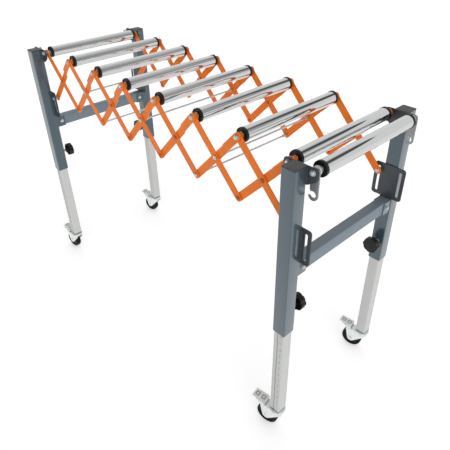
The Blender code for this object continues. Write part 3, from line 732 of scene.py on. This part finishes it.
def piece(name, mesh, finish, body, bevel=0.0, replaces=()):
    """Puts a finished mesh on its body, with its edges eased where a bevel width is given."""
    coat, record_slot = FINISHES[finish]
    mesh.name = name
    mesh.materials.clear()
    mesh.materials.append(coat.material)
    mesh.shade_smooth()
    mesh.set_sharp_from_angle(angle=SMOOTH_ANGLE)
    obj = placed(name, mesh)
    if bevel:
        ease = obj.modifiers.new("eased edges", "BEVEL")
        ease.width = bevel
        ease.segments = BEVEL_STEPS
        ease.limit_method = "ANGLE"
        ease.angle_limit = SMOOTH_ANGLE
        ease.harden_normals = True
    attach(obj, body)
    if replaces:
        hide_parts(replaces)
    return obj


# End frames
def ear_outline():
    """The top plate's edge: two ears with round shoulders and a tapered foot across the post."""
    half = [EAR_FOOT, EAR_CUT, (PLATE_HALF, EAR_CORNER), (PLATE_HALF, EAR_TOP)]
    return symmetric(half, [EAR_ROUND, EAR_ROUND, EAR_ROUND, EAR_TOP_ROUND], (-1, 1))


def slot_plate_edges():
    """The slotted plate's edge and its two slots."""
    height = SLOT_PLATE_TOP - SLOT_PLATE_BOTTOM
    edge = rectangle(2 * PLATE_HALF, height, SLOT_PLATE_ROUND, (SLOT_PLATE_TOP + SLOT_PLATE_BOTTOM) / 2)
    return [edge] + [upright_slot(x, SLOT_BOTTOM, SLOT_TOP, SLOT_WIDTH) for x in (-EAR_IN, EAR_IN)]


def channel_outline():
    """The section of the channel that holds a crossbar's end."""
    inside = CHANNEL_HALF - CHANNEL_WALL
    top = BAR_DROP + BAR_HEIGHT / 2 - CHANNEL_LIP
    floor = BAR_DROP - BAR_HEIGHT / 2 - GAP
    half = [(CHANNEL_HALF, floor - CHANNEL_WALL), (CHANNEL_HALF, top), (inside, top), (inside, floor)]
    return symmetric(half, [CHANNEL_SOFT, 0, 0, CHANNEL_SOFT / 2], (-1, 1))


def weld_beads(top, bottom):
    """Two upright weld beads where a plate meets the post's corners."""
    bead = moved(shaft(WELD_RADIUS, bottom, top, ARC_STEPS), axes((0, 0, 0), (1, 0, 0), (0, 1, 0)))
    return [shifted(bead, (x, 0, -PLATE_THICK / 2)) for x in (-POST_SIDE / 2, POST_SIDE / 2)]


def build_post(name, body, side):
    """One post with its cap and bush, and with what is fixed to it."""
    axis = spot(f"caster_{name}_swivel")
    top = Vector((axis.x, axis.y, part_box(f"post_{name}")[1].z))
    inner = POST_SIDE - 2 * POST_WALL
    height = POST_LENGTH - CAP_THICK
    square = rectangle(POST_SIDE, POST_SIDE, POST_ROUND)
    bore = rectangle(inner, inner, POST_ROUND / 2)
    tube = shifted(sheet([square, bore], height), top - UP * (CAP_THICK + height / 2))
    piece(f"post_tube_{name}", tube, "enamel", body, replaces=f"post_{name}")
    cap = shifted(sheet([square], CAP_THICK), top - UP * CAP_THICK / 2)
    piece(f"post_cap_{name}", cap, "cap", body, CAP_SOFT)
    bush = sheet([bore, rectangle(BUSH_INNER, BUSH_INNER, LEG_ROUND)], BUSH_LENGTH)
    bush_drop = POST_LENGTH - BUSH_INSET - BUSH_LENGTH / 2
    piece(f"post_bush_{name}", shifted(bush, top - UP * bush_drop), "black", body)
    inward = -SIDES[side]
    face = top + Vector((0, inward * POST_SIDE / 2, 0))
    build_plates(name, body, face, inward)
    build_post_bolts(name, body, face, inward)


def build_plates(name, body, face, inward):
    """The two plates and the channel on a post's inner face, with the welds."""
    on_face = outward(face + Vector((0, inward * PLATE_THICK / 2, 0)), inward)
    ears = moved(sheet([ear_outline()], PLATE_THICK), on_face)
    piece(f"ear_plate_{name}", ears, "charcoal", body, PLATE_SOFT)
    slotted = moved(sheet(slot_plate_edges(), PLATE_THICK), on_face)
    piece(f"slot_plate_{name}", slotted, "charcoal", body, PLATE_SOFT)
    on_channel = outward(face + Vector((0, inward * CHANNEL_LENGTH / 2, 0)), inward)
    channel = moved(sheet([channel_outline()], CHANNEL_LENGTH), on_channel)
    piece(f"bar_channel_{name}", channel, "enamel", body, LINK_SOFT)
    beads = weld_beads(EAR_TOP - EAR_ROUND, EAR_FOOT[1] + EAR_ROUND)
    beads += weld_beads(SLOT_PLATE_TOP - EAR_ROUND, SLOT_PLATE_BOTTOM + EAR_ROUND)
    piece(f"plate_welds_{name}", moved(joined(beads), on_face), "charcoal", body)


def build_post_bolts(name, body, face, inward):
    """The channel's bolts, the clamp nut and, on the far frame, the pin that a hook catches."""
    head = [ring(PIN_RADIUS, NUT_RADIUS, 0, WASHER), nut(NUT_RADIUS, PIN_NUT_HEIGHT, PIN_RADIUS, WASHER)]
    bolts = []
    for x in (-1, 1):
        place = face + Vector((x * CHANNEL_HALF, inward * CHANNEL_BOLT, BAR_DROP))
        bolts.append(moved(joined(head), axes(place, UP, (x, 0, 0))))
    clamp = nut(CLAMP_NUT_RADIUS, CLAMP_NUT, STUD_RADIUS)
    bolts.append(moved(clamp, outward(spot(f"knob_{name}_turn"), inward)))
    if body == "far_frame":
        place = face + Vector((-EAR_OUT, inward * PLATE_THICK, spot("scissor").z - face.z))
        bolts.append(moved(catch_pin(), outward(place, inward)))
    piece(f"post_fasteners_{name}", joined(bolts), "plated", body)


def catch_pin():
    """A flanged pin that stands up from a plate."""
    neck = CATCH_REACH - CATCH_FLANGE
    pin = [(0, CATCH_REACH), (CATCH_FLANGE_RADIUS, CATCH_REACH), (CATCH_FLANGE_RADIUS, neck)]
    pin += [(AXLE_RADIUS, neck), (AXLE_RADIUS, 0), (0, 0)]
    return lathe(softened(pin, [0, GAP, GAP, GAP, 0, 0], EDGE_STEPS))


def build_crossbar(end):
    """A rectangular tube whose ends lie in the posts' channels."""
    low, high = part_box(f"crossbar_{end}")
    edge = rectangle(BAR_DEPTH, BAR_HEIGHT, BAR_ROUND)
    bore = rectangle(BAR_DEPTH - 2 * BAR_WALL, BAR_HEIGHT - 2 * BAR_WALL, BAR_ROUND / 2)
    bar = moved(sheet([edge, bore], high.y - low.y), outward((low + high) / 2, 1))
    piece(f"bar_tube_{end}", bar, "bar_enamel", f"{end}_frame", replaces=f"crossbar_{end}")


def leg_outline():
    """The leg's section, with a groove down the outer face, on the -Y side."""
    half = LEG_SIDE / 2
    left, right = GROOVE_X - GROOVE_WIDTH / 2, GROOVE_X + GROOVE_WIDTH / 2
    groove = [(left, -half), (left, GROOVE_DEPTH - half), (right, GROOVE_DEPTH - half), (right, -half)]
    points = [(-half, -half)] + groove + [(half, -half), (half, half), (-half, half)]
    return softened(points, [LEG_ROUND] + [0] * len(groove) + [LEG_ROUND] * 3)


def scale_marks():
    """Ticks and plain numbers up a leg, in a plane whose Y is up."""
    tick = sheet([rectangle(MARK_TICK, MARK_THICK, MARK_THICK / 4)], MARK_LIFT)
    marks = []
    for i in range(MARK_COUNT):
        z = MARK_FIRST + i * MARK_STEP
        marks.append(shifted(tick, (0, z - MARK_DROP, 0)))
        number = bpy.data.curves.new("number", "FONT")
        number.body = str(i + 1)
        number.size = MARK_SIZE
        number.align_x = "CENTER"
        number.align_y = "CENTER"
        number.extrude = MARK_LIFT / 2
        marks.append(shifted(mesh_of(number), (0, z, 0)))
    return joined(marks)


def build_leg(name, side):
    """An inner leg with its foot plug, swivel stem and printed scale."""
    body = f"leg_{name}"
    axis = spot(f"caster_{name}_swivel")
    place = axes((axis.x, axis.y, 0), (-SIDES[side], 0, 0), UP)
    inner = LEG_SIDE - 2 * LEG_WALL
    tube = sheet([leg_outline(), rectangle(inner, inner, LEG_ROUND / 2)], LEG_LENGTH)
    tube.transform(place @ Matrix.Translation((0, 0, LEG_BOTTOM + LEG_LENGTH / 2)))
    piece(f"leg_tube_{name}", tube, "galvanised", body, replaces=body)
    plug = sheet([rectangle(LEG_SIDE, LEG_SIDE, LEG_ROUND)], LEG_PLUG)
    plug.transform(place @ Matrix.Translation((0, 0, LEG_BOTTOM - LEG_PLUG / 2)))
    piece(f"leg_plug_{name}", plug, "black", body, LINK_SOFT)
    stem = shaft(STEM_RADIUS, STEM_BOTTOM, LEG_BOTTOM)
    piece(f"leg_stem_{name}", moved(stem, place), "zinc", body)
    print_face = place @ outward((MARK_X, -LEG_SIDE / 2, 0), -1)
    piece(f"leg_scale_{name}", moved(scale_marks(), print_face), "ink", body)


def cup(outline, wall, low, floor, high):
    """A closed front on an upright wall that follows an outline round Z, open at its low end."""
    bm = bmesh.new()
    inner = [Vector(point) * (1 - wall / Vector(point).length) for point in outline]
    rings = ((outline, high), (outline, low), (inner, low), (inner, floor))
    loops = [[bm.verts.new((*point, z)) for point in points] for points, z in rings]
    bm.faces.new(loops[0])
    bm.faces.new(loops[-1])
    for upper, lower in zip(loops, loops[1:]):
        for i in range(len(outline)):
            bm.faces.new((upper[i - 1], upper[i], lower[i], lower[i - 1]))
    return to_mesh(bm, "cup")


def knob_outline():
    """A circle with a shallow notch between each two lobes."""
    outline = []
    for i in range(KNOB_STEPS):
        angle = FULL * i / KNOB_STEPS
        notch = ((1 - math.cos(KNOB_LOBES * angle)) / 2) ** KNOB_NOTCH_POWER
        radius = KNOB_RADIUS + KNOB_LOBE - 2 * KNOB_LOBE * notch
        outline.append((radius * math.cos(angle), radius * math.sin(angle)))
    return outline


def build_knob(name, side):
    """A lobed clamp knob, hollow behind, with a ribbed hub on its screw."""
    body = f"knob_{name}"
    place = outward(spot(f"knob_{name}_turn"), -SIDES[side])
    head = moved(cup(knob_outline(), KNOB_RIM, KNOB_BACK, KNOB_FLOOR, KNOB_FRONT), place)
    piece(f"knob_head_{name}", head, "black", body, KNOB_SOFT, replaces=body)
    floor = KNOB_FLOOR + GAP
    hub = [(0, floor), (KNOB_HUB_WIDE, floor), (KNOB_HUB_SLIM, KNOB_HUB_END), (0, KNOB_HUB_END)]
    parts = [lathe(softened(hub, [0, 0, KNOB_SOFT, 0]))]
    parts.append(dome(KNOB_BUTTON, KNOB_BUTTON_RISE, KNOB_FRONT - GAP))
    rib = block((0, -KNOB_RIB_HALF, KNOB_RIB_BACK), (KNOB_RADIUS - KNOB_RIM, KNOB_RIB_HALF, floor))
    for i in range(KNOB_LOBES):
        parts.append(moved(rib, Matrix.Rotation(FULL * i / KNOB_LOBES, 4, "Z")))
    piece(f"knob_neck_{name}", moved(joined(parts), place), "black", body)
    stud = shaft(STUD_RADIUS, STUD_TIP, KNOB_HUB_END + GAP)
    piece(f"knob_screw_{name}", moved(stud, place), "plated", body)


# Scissor
def link_frame(start, end, sign, layer):
    """The frame at a link's first hole, with X along the link and Z to the outer side."""
    origin = (start.x, spot("scissor").y + sign * layer, start.z)
    return axes(origin, (end.x - start.x, 0, end.z - start.z), (0, sign, 0))


def flat_link(length):
    """A flat bar with round ends, from its first hole to its last."""
    return sheet([capsule(0, length, LINK_WIDTH / 2)], LINK_THICK)


def joggled(length):
    """A rising link from its lower hole, with its top end set out past the next falling link."""
    bm = bmesh.new()
    bm.from_mesh(flat_link(length))
    start = length / 2 + JOGGLE_START
    run = JOGGLE_END - JOGGLE_START
    for i in range(JOGGLE_CUTS + 1):
        parts = bm.verts[:] + bm.edges[:] + bm.faces[:]
        cut = (start + run * i / JOGGLE_CUTS, 0, 0)
        bmesh.ops.bisect_plane(bm, geom=parts, dist=TINY, plane_co=cut, plane_no=(1, 0, 0))
    for vert in bm.verts:
        t = min(1.0, max(0.0, (vert.co.x - start) / run))
        vert.co.z += (RISE_TOP_LAYER - RISE_LAYER) * t * t * (3 - 2 * t)
    return to_mesh(bm, "joggled")


def fasteners(point, meshes):
    """The same parts on the front and the back side of a pivot, set out from the middle of the stand."""
    return [moved(mesh, mid_frame(point, sign)) for mesh in meshes for sign in SIDES.values()]


def build_cell(cell, tops, crossings):
    """One cell of the scissor: two falling links and a pair of rising links with their pins."""
    top, next_top, crossing = tops[cell], tops[cell + 1], crossings[cell]
    length = (next_top - crossing).length * 2
    low_left = crossing * 2 - next_top
    low_right = crossing * 2 - top
    for side, sign in SIDES.items():
        bar = moved(flat_link(length), link_frame(top, low_right, sign, FALL_LAYER))
        piece(f"fall_bar_{cell}_{side}", bar, "orange", f"fall_{cell}", LINK_SOFT, f"link_fall_{cell}_{side}")
        rise = moved(joggled(length), link_frame(low_left, next_top, sign, RISE_LAYER))
        obj = piece(f"rise_bar_{cell}_{side}", rise, "orange", f"rise_{cell}", LINK_SOFT)
        if side == "front":
            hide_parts(f"link_rise_{cell}")
    build_axle(cell, next_top)
    build_pins(cell, crossing, low_left)
    if cell == CELLS:
        build_end_pins(low_right)


def axle_nut(face, rim):
    """The washer and the nut on an axle's end."""
    washer = ring(AXLE_RADIUS, rim, face, face + WASHER)
    return [washer, nut(NUT_RADIUS, NUT_HEIGHT - WASHER, AXLE_RADIUS - GAP, face + WASHER)]


def build_axle(cell, point):
    """The roller axle of a rising pair, with its nuts, and its sleeves in orange as a painted reflection of
    the links.
    """
    face = RISE_TOP_LAYER + LINK_THICK / 2
    if cell == CELLS:
        face = plate_back()
    rod = moved(shaft(AXLE_RADIUS, -face, face), mid_frame(point))
    sleeve = ring(AXLE_RADIUS, SLEEVE_RADIUS, ROLLER_HALF + GAP, FALL_LAYER - LINK_THICK / 2 - GAP)
    # The sleeves take the links' orange: a painted reflection of the links on their plated steel
    piece(f"roller_sleeves_painted_reflection_{cell}", joined(fasteners(point, [sleeve])), "orange", f"rise_{cell}")
    axle = [rod] + fasteners(point, axle_nut(face, NUT_RADIUS + GAP))
    piece(f"roller_axle_{cell}", joined(axle), "plated", f"rise_{cell}")


def build_pins(cell, crossing, low_left):
    """The pins of a rising pair: nuts and tie rods where the pair has them, painted rivets elsewhere."""
    face = FALL_LAYER + LINK_THICK / 2 + GAP
    inside = RISE_LAYER - LINK_THICK / 2
    shank = shaft(PIN_RADIUS, RISE_LAYER, face + GAP)
    inner_head = moved(dome(RIVET_RADIUS - WASHER, RIVET_INNER), downward(inside))
    rivet = [shank, dome(RIVET_RADIUS, RIVET_RISE, face), inner_head]
    bolt = [shank, nut(NUT_RADIUS, PIN_NUT_HEIGHT, PIN_RADIUS - GAP, face)]
    sleeve = ring(ROD_RADIUS, ROD_SLEEVE, inside - ROD_SLEEVE_LENGTH, inside)
    rod = shaft(ROD_RADIUS, -inside, inside)
    rivets, bolts, rods = [], [], []
    for point, tied in ((crossing, cell in MID_RODS), (low_left, cell in LOW_RODS)):
        if tied:
            bolts += fasteners(point, bolt)
            rods += fasteners(point, [sleeve]) + [moved(rod, mid_frame(point))]
        elif cell == 1 and point == low_left:
            bolts += fasteners(point, slot_bolt(RISE_LAYER + LINK_THICK / 2))
        else:
            rivets += fasteners(point, rivet)
    # The rivets take the darker rivet finish: painted shade round their heads
    groups = (("rivets", rivets, "rivet"), ("tie_fasteners", bolts, "plated"), ("tie_rods", rods, "plated"))
    for name, meshes, finish in groups:
        if meshes:
            piece(f"{name}_{cell}", joined(meshes), finish, f"rise_{cell}")


def plate_back():
    """How far the backs of the posts' plates are from the middle of the stand, with a gap."""
    front = spot("caster_far_front_swivel").y
    back = spot("caster_far_back_swivel").y
    return (back - front) / 2 - POST_SIDE / 2 + GAP


def slot_bolt(link_face):
    """A bolt through an end link and the slot beside it: head inside, sleeve to the plate, nut behind it."""
    inside = link_face - LINK_THICK
    plate = plate_back() - PLATE_THICK - 2 * GAP
    back = plate_back() + GAP
    head = moved(nut(RIVET_RADIUS, RIVET_RISE, PIN_RADIUS), downward(inside))
    bolt = [head, shaft(PIN_RADIUS, inside, back + GAP)]
    bolt.append(nut(NUT_RADIUS, PIN_NUT_HEIGHT, PIN_RADIUS - GAP, back))
    if plate - link_face > WASHER:
        bolt.append(ring(PIN_RADIUS, SLEEVE_RADIUS, link_face, plate))
    return bolt


def build_end_pins(point):
    """The bolts of the last falling links, which slide in the near plates' slots."""
    bolts = fasteners(point, slot_bolt(FALL_LAYER + LINK_THICK / 2))
    piece("slot_bolts_near", joined(bolts), "plated", f"fall_{CELLS}")


# Rollers, end axles and hooks
def roller_cap():
    """The black end ring of a roller, with a dished face and a hub round the bearing."""
    low = ROLLER_HALF - RING_LENGTH
    dish = ROLLER_HALF - RING_DISH
    points = [(RING_RADIUS, ROLLER_HALF), (RING_RADIUS, low), (ROLLER_RADIUS - ROLLER_WALL, low)]
    points += [(RING_BORE, low), (RING_BORE, ROLLER_HALF - GAP), (RING_HUB, ROLLER_HALF - GAP)]
    points += [(RING_HUB, dish), (RING_LIP, dish), (RING_LIP, ROLLER_HALF)]
    radii = [RING_SOFT, RING_SOFT / 2, 0, 0, GAP, GAP, GAP, GAP, RING_SOFT / 2]
    return lathe(softened(points, radii, SEAT_STEPS), ROLLER_ROUND)


def bearing():
    """The steel bearing in a roller's end, with a grooved shield."""
    face = ROLLER_HALF - GAP
    third = (RING_BORE - BEARING_BORE) / 3
    groove = face - BEARING_GROOVE
    points = [(RING_BORE, face), (RING_BORE, face - RING_LENGTH / 2), (BEARING_BORE, face - RING_LENGTH / 2)]
    points += [(BEARING_BORE, face), (BEARING_BORE + third, face), (BEARING_BORE + third, groove)]
    points += [(RING_BORE - third, groove), (RING_BORE - third, face)]
    return lathe(points)


def build_roller(number):
    """A chromed tube between two black end rings with their bearings."""
    name = f"roller_{number}"
    place = spot(f"{name}_spin")
    reach = ROLLER_HALF - RING_LENGTH + RING_SOFT
    inner = ROLLER_RADIUS - ROLLER_WALL
    wall = [(ROLLER_RADIUS, reach), (ROLLER_RADIUS, -reach), (inner, -reach), (inner, reach)]
    tube = moved(lathe(wall, ROLLER_ROUND), outward(place, 1))
    piece(f"roller_tube_{number}", tube, "chrome", name, replaces=name)
    piece(f"roller_rings_{number}", joined(fasteners(place, [roller_cap()])), "black", name)
    piece(f"roller_bearings_{number}", joined(fasteners(place, [bearing()])), "plated", name)


def build_end_axles():
    """The axles that the end frames carry, with their nuts, washers and sleeves."""
    back = plate_back()
    inner_face = back - PLATE_THICK - 2 * GAP
    for end, point in (("far", spot("scissor")), ("near", spot(f"roller_{ROLLERS}_spin"))):
        rod = moved(shaft(AXLE_RADIUS, -back, back), mid_frame(point))
        parts = axle_nut(back, NUT_RADIUS + WASHER)
        if end == "far":
            link = FALL_LAYER - LINK_THICK / 2
            parts.append(ring(AXLE_RADIUS, SLEEVE_RADIUS, ROLLER_HALF + GAP, link - GAP))
            parts.append(ring(AXLE_RADIUS, SLEEVE_RADIUS, link + LINK_THICK + GAP, inner_face))
        else:
            parts += hook_stack(inner_face)
            piece("hook_washers", joined(fasteners(point, hook_washers())), "zinc", "near_frame")
        axle = joined([rod] + fasteners(point, parts))
        piece(f"end_axle_{end}", axle, "plated", f"{end}_frame", replaces=f"axle_{end}")


def hook_face(sign):
    """How far the inner (-1) or outer (1) end of a hook's space is from the middle of the stand."""
    middle = abs(spot("hook_back_swing").y - spot("scissor").y)
    return middle + sign * (HOOK_THICK / 2 + GAP)


def hook_stack(inner_face):
    """The spacer outside a hook, and the lock nut and sleeve inside it."""
    lock = hook_face(-1) - WASHER - NUT_HEIGHT
    stack = [ring(AXLE_RADIUS, NUT_RADIUS + WASHER, hook_face(1), inner_face)]
    stack.append(nut(NUT_RADIUS + WASHER, NUT_HEIGHT, AXLE_RADIUS, lock))
    stack.append(ring(AXLE_RADIUS, SLEEVE_RADIUS, ROLLER_HALF + GAP, lock))
    return stack


def hook_washers():
    """The wide washers between a hook and its roller."""
    first = hook_face(-1) - WASHER
    lows = [first, first - NUT_HEIGHT / 2, first - WASHER - NUT_HEIGHT]
    return [ring(AXLE_RADIUS, HOOK_WASHER, low, low + WASHER) for low in lows]


def build_hook(side):
    """A linking hook that hangs from the near axle, with its notch towards the post."""
    outline = arc((HOOK_EYE_X, 0), HOOK_HALF, 0, HALF, 2 * ARC_STEPS)
    outline.append((HOOK_LEFT, HOOK_SHOULDER))
    outline += arc(NOTCH, NOTCH_RADIUS, NOTCH_START, NOTCH_END, 2 * ARC_STEPS)
    outline += arc(HOOK_CURVE, HOOK_CURVE_RADIUS, HOOK_TIP, 0, 2 * ARC_STEPS)
    plate = sheet([outline, circle((0, 0), AXLE_RADIUS + GAP)], HOOK_THICK)
    place = outward(spot(f"hook_{side}_swing"), -1)
    piece(f"hook_plate_{side}", moved(plate, place), "steel", f"hook_{side}", HOOK_SOFT, f"hook_{side}")


# Casters
def caster_frame(name):
    """The frame on the floor under a caster's swivel, with X away from the trailing wheel."""
    axis = spot(f"caster_{name}_swivel")
    wheel = Vector(JOINTS[f"wheel_{name}_spin"]["axis"])
    return axes((axis.x, axis.y, 0), (wheel.y, -wheel.x, 0), UP)


def swivel_head():
    """The round head over a fork, with a race let into its rim."""
    middle = (HEAD_RIM_TOP + HEAD_RIM_LOW) / 2
    high, low = middle + HEAD_RACE_HALF, middle - HEAD_RACE_HALF
    head = [(0, HEAD_TOP), (HEAD_TOP_RADIUS, HEAD_TOP), (HEAD_RIM, HEAD_RIM_TOP), (HEAD_RIM, high)]
    head += [(HEAD_RACE, high), (HEAD_RACE, low), (HEAD_RIM, low), (HEAD_RIM, HEAD_RIM_LOW)]
    head += [(HEAD_FOOT_RADIUS, HEAD_FOOT), (0, HEAD_FOOT)]
    radii = [0, HEAD_SOFT, HEAD_SOFT, GAP, 0, 0, GAP, HEAD_SOFT, HEAD_SOFT, 0]
    return lathe(softened(head, radii, SEAT_STEPS))


def build_fork(name, place):
    """A pressed fork with its swivel head, wheel bolt and pedal rivets."""
    corners = [(x, z) for x in (FORK_FRONT, FORK_BACK) for z in (FORK_TOP, FORK_SHOULDER)]
    outline = hull(circle((TRAIL, WHEEL_RADIUS), FORK_BOSS, ROUND) + corners)
    outside = FORK_INNER + FORK_THICK
    cheek = sheet([outline], FORK_THICK)
    parts = [moved(cheek, outward((0, sign * (outside - FORK_THICK / 2), 0), -1)) for sign in SIDES.values()]
    bridge = sheet([rectangle(FORK_FRONT - BRIDGE_BACK, 2 * outside, BRIDGE_ROUND)], BRIDGE_THICK)
    parts.append(shifted(bridge, ((FORK_FRONT + BRIDGE_BACK) / 2, 0, FORK_TOP - BRIDGE_THICK / 2)))
    body = f"fork_{name}"
    pressed = moved(joined(parts), place)
    piece(f"fork_pressing_{name}", pressed, "zinc", body, FORK_SOFT, f"caster_fork_{name}")

    pivot_x, pivot_z = PEDAL_PIVOT
    washer = ring(PIN_RADIUS, WHEEL_NUT_RADIUS + WASHER, 0, WASHER)
    bolt = nut(WHEEL_NUT_RADIUS, WHEEL_NUT - WASHER, PIN_RADIUS - GAP, WASHER)
    rivet = dome(PEDAL_RIVET, PEDAL_RIVET_REACH - PEDAL_OUTER - GAP)
    fittings = [swivel_head()]
    for sign in SIDES.values():
        axle = outward((TRAIL, sign * outside, WHEEL_RADIUS), sign)
        fittings += [moved(washer, axle), moved(bolt, axle)]
        fittings.append(moved(rivet, outward((pivot_x, sign * (PEDAL_OUTER + GAP), pivot_z), sign)))
    pin = shaft(PEDAL_RIVET - WASHER, -PEDAL_OUTER, PEDAL_OUTER)
    fittings.append(moved(pin, outward((pivot_x, 0, pivot_z), 1)))
    piece(f"fork_fittings_{name}", moved(joined(fittings), place), "zinc", body)


def build_wheel(name, place):
    """A caster wheel: rounded tyre on a dished hub."""
    at = place @ outward((TRAIL, 0, WHEEL_RADIUS), 1)
    body = f"wheel_{name}"
    half = [(TYRE_INNER, WHEEL_DISH + GAP), (TYRE_SHOULDER, WHEEL_HALF), (WHEEL_RADIUS, TYRE_TREAD)]
    tyre = lathe(symmetric(half, [GAP, TYRE_SOFT, TYRE_SOFT], (1, -1)), ROLLER_ROUND)
    piece(f"wheel_tyre_{name}", moved(tyre, at), "rubber", body, replaces=f"caster_wheel_{name}")
    dish = WHEEL_DISH - WASHER
    half = [(WHEEL_BORE, WHEEL_HUB), (WHEEL_HUB_RADIUS, WHEEL_HUB)]
    half += [(WHEEL_HUB_RADIUS, dish), (TYRE_INNER + GAP, dish)]
    hub = lathe(symmetric(half, [GAP, HEAD_SOFT, HEAD_SOFT, 0], (1, -1)))
    piece(f"wheel_hub_{name}", moved(hub, at), "black", body)


def build_pedal(name, place):
    """A brake pedal: a tread with a bent lip and two raised squares, cheeks with pivot eyes, and the shoe."""
    body = f"pedal_{name}"
    edge = hull(circle(PEDAL_PIVOT, PEDAL_EYE) + [PEDAL_CHEEK_FRONT, PEDAL_CHEEK_BACK])
    hole = circle(PEDAL_PIVOT, PEDAL_RIVET - WASHER + GAP)
    cheek = sheet([edge, hole], PEDAL_OUTER - PEDAL_INNER)
    y = (PEDAL_INNER + PEDAL_OUTER) / 2
    parts = [moved(cheek, outward((0, sign * y, 0), -1)) for sign in SIDES.values()]
    front = Vector((PEDAL_FRONT[0], 0, PEDAL_FRONT[1]))
    back = Vector((PEDAL_BACK[0], 0, PEDAL_BACK[1]))
    run = front - back
    slope = axes((front + back) / 2, run, UP - UP.project(run))
    tread = sheet([rectangle(run.length, 2 * (PEDAL_HALF + GAP), PEDAL_ROUND)], PEDAL_THICK)
    parts += [moved(tread, slope), block(LIP_LOW, LIP_HIGH), block(SHOE_LOW, SHOE_HIGH)]
    piece(f"pedal_plate_{name}", moved(joined(parts), place), "pedal", body, FORK_SOFT, f"brake_pedal_{name}")
    squares = [rectangle(PAD_OUTER, PAD_OUTER, PAD_ROUND), rectangle(PAD_INNER, PAD_INNER, PAD_ROUND / 2)]
    pad = sheet(squares, PAD_RISE)
    rise = PEDAL_THICK / 2 + PAD_RISE / 2 - GAP
    pads = [moved(pad, slope @ Matrix.Translation((x, 0, rise))) for x in (-PAD_OFFSET, PAD_OFFSET)]
    # The raised squares take the darker grey steel: painted shade along their raised edges
    piece(f"pedal_pads_painted_shade_{name}", moved(joined(pads), place), "steel", body, LINK_SOFT)


# Stage
def build_floor():
    """A wide pale floor that glows a little."""
    bm = bmesh.new()
    bmesh.ops.create_grid(bm, x_segments=1, y_segments=1, size=FLOOR_HALF)
    floor = placed("floor", to_mesh(bm, "floor"))
    pale = Finish("pale_floor", FLOOR_COLOUR, FLOOR_ROUGHNESS, specular=FLOOR_SPECULAR)
    pale.put("Emission Color", WHITE)
    pale.put("Emission Strength", FLOOR_GLOW)
    floor.data.materials.append(pale.material)


def build_camera():
    """The camera, where the photograph was taken from."""
    camera = bpy.data.cameras.new("camera")
    camera.lens = CAMERA_LENS
    camera.sensor_width = CAMERA_SENSOR
    camera.shift_x, camera.shift_y = CAMERA_SHIFT
    viewer = placed("camera", camera)
    viewer.location = CAMERA_PLACE
    viewer.rotation_euler = [math.radians(a) for a in CAMERA_TURN]
    bpy.context.scene.camera = viewer
    bpy.context.scene.view_settings.view_transform = "Standard"


def facing(tree, direction, axis):
    """How far a direction of view lies along an axis."""
    node = tree.nodes.new("ShaderNodeVectorMath")
    node.operation = "DOT_PRODUCT"
    node.inputs[1].default_value = axis
    tree.links.new(direction, node.inputs[0])
    return node.outputs["Value"]


def blend(tree, share, first, second):
    """The first level where the share is 0 and the second where it is 1."""
    node = tree.nodes.new("ShaderNodeMix")
    sockets = [socket for socket in node.inputs if socket.type == "VALUE"]
    for socket, level in zip(sockets, (share, first, second)):
        if isinstance(level, float):
            socket.default_value = level
        else:
            tree.links.new(level, socket)
    return node.outputs["Result"]


def build_sky():
    """White below a slanted edge. Above it the back darkens and the front brightens to the right."""
    world = bpy.data.worlds.new("studio")
    bpy.context.scene.world = world
    world.use_nodes = True
    tree = world.node_tree
    direction = tree.nodes.new("ShaderNodeTexCoord").outputs["Generated"]
    right = facing(tree, direction, (1, 0, 0))
    back = facing(tree, direction, (0, 1, 0))
    shade = ramp(tree, facing(tree, direction, SHADE_CENTRE), SHADE_EDGE, SHADE_LEVELS)
    ceiling = blend(tree, shade, 0.0, ramp(tree, right, (-1, 1), BACK_LEVELS))
    front = ramp(tree, right, FRONT_SPAN, FRONT_LEVELS)
    above = blend(tree, ramp(tree, back, FRONT_EDGE, (0, 1)), front, ceiling)
    over_wall = ramp(tree, facing(tree, direction, WALL_PLANE), WALL_EDGE, (0, 1))
    level = blend(tree, over_wall, WALL_LEVEL, above)
    tree.nodes["Background"].inputs["Color"].default_value = WHITE
    tree.links.new(level, tree.nodes["Background"].inputs["Strength"])


def main():
    """Builds the stand from the frame's joints, and the stage round it."""
    tops = {1: spot("scissor"), CELLS + 1: spot("near_frame_top")}
    tops.update({cell: spot(f"fall_{cell}_top") for cell in range(2, CELLS + 1)})
    crossings = {cell: spot(f"rise_{cell}_cross") for cell in range(1, CELLS + 1)}
    for end in ENDS:
        build_crossbar(end)
        for side in SIDES:
            name = f"{end}_{side}"
            build_post(name, f"{end}_frame", side)
            build_leg(name, side)
            build_knob(name, side)
            place = caster_frame(name)
            build_fork(name, place)
            build_wheel(name, place)
            build_pedal(name, place)
    for cell in crossings:
        build_cell(cell, tops, crossings)
    for number in range(1, ROLLERS + 1):
        build_roller(number)
    build_end_axles()
    for side in SIDES:
        build_hook(side)
    build_floor()
    build_camera()
    build_sky()


main()
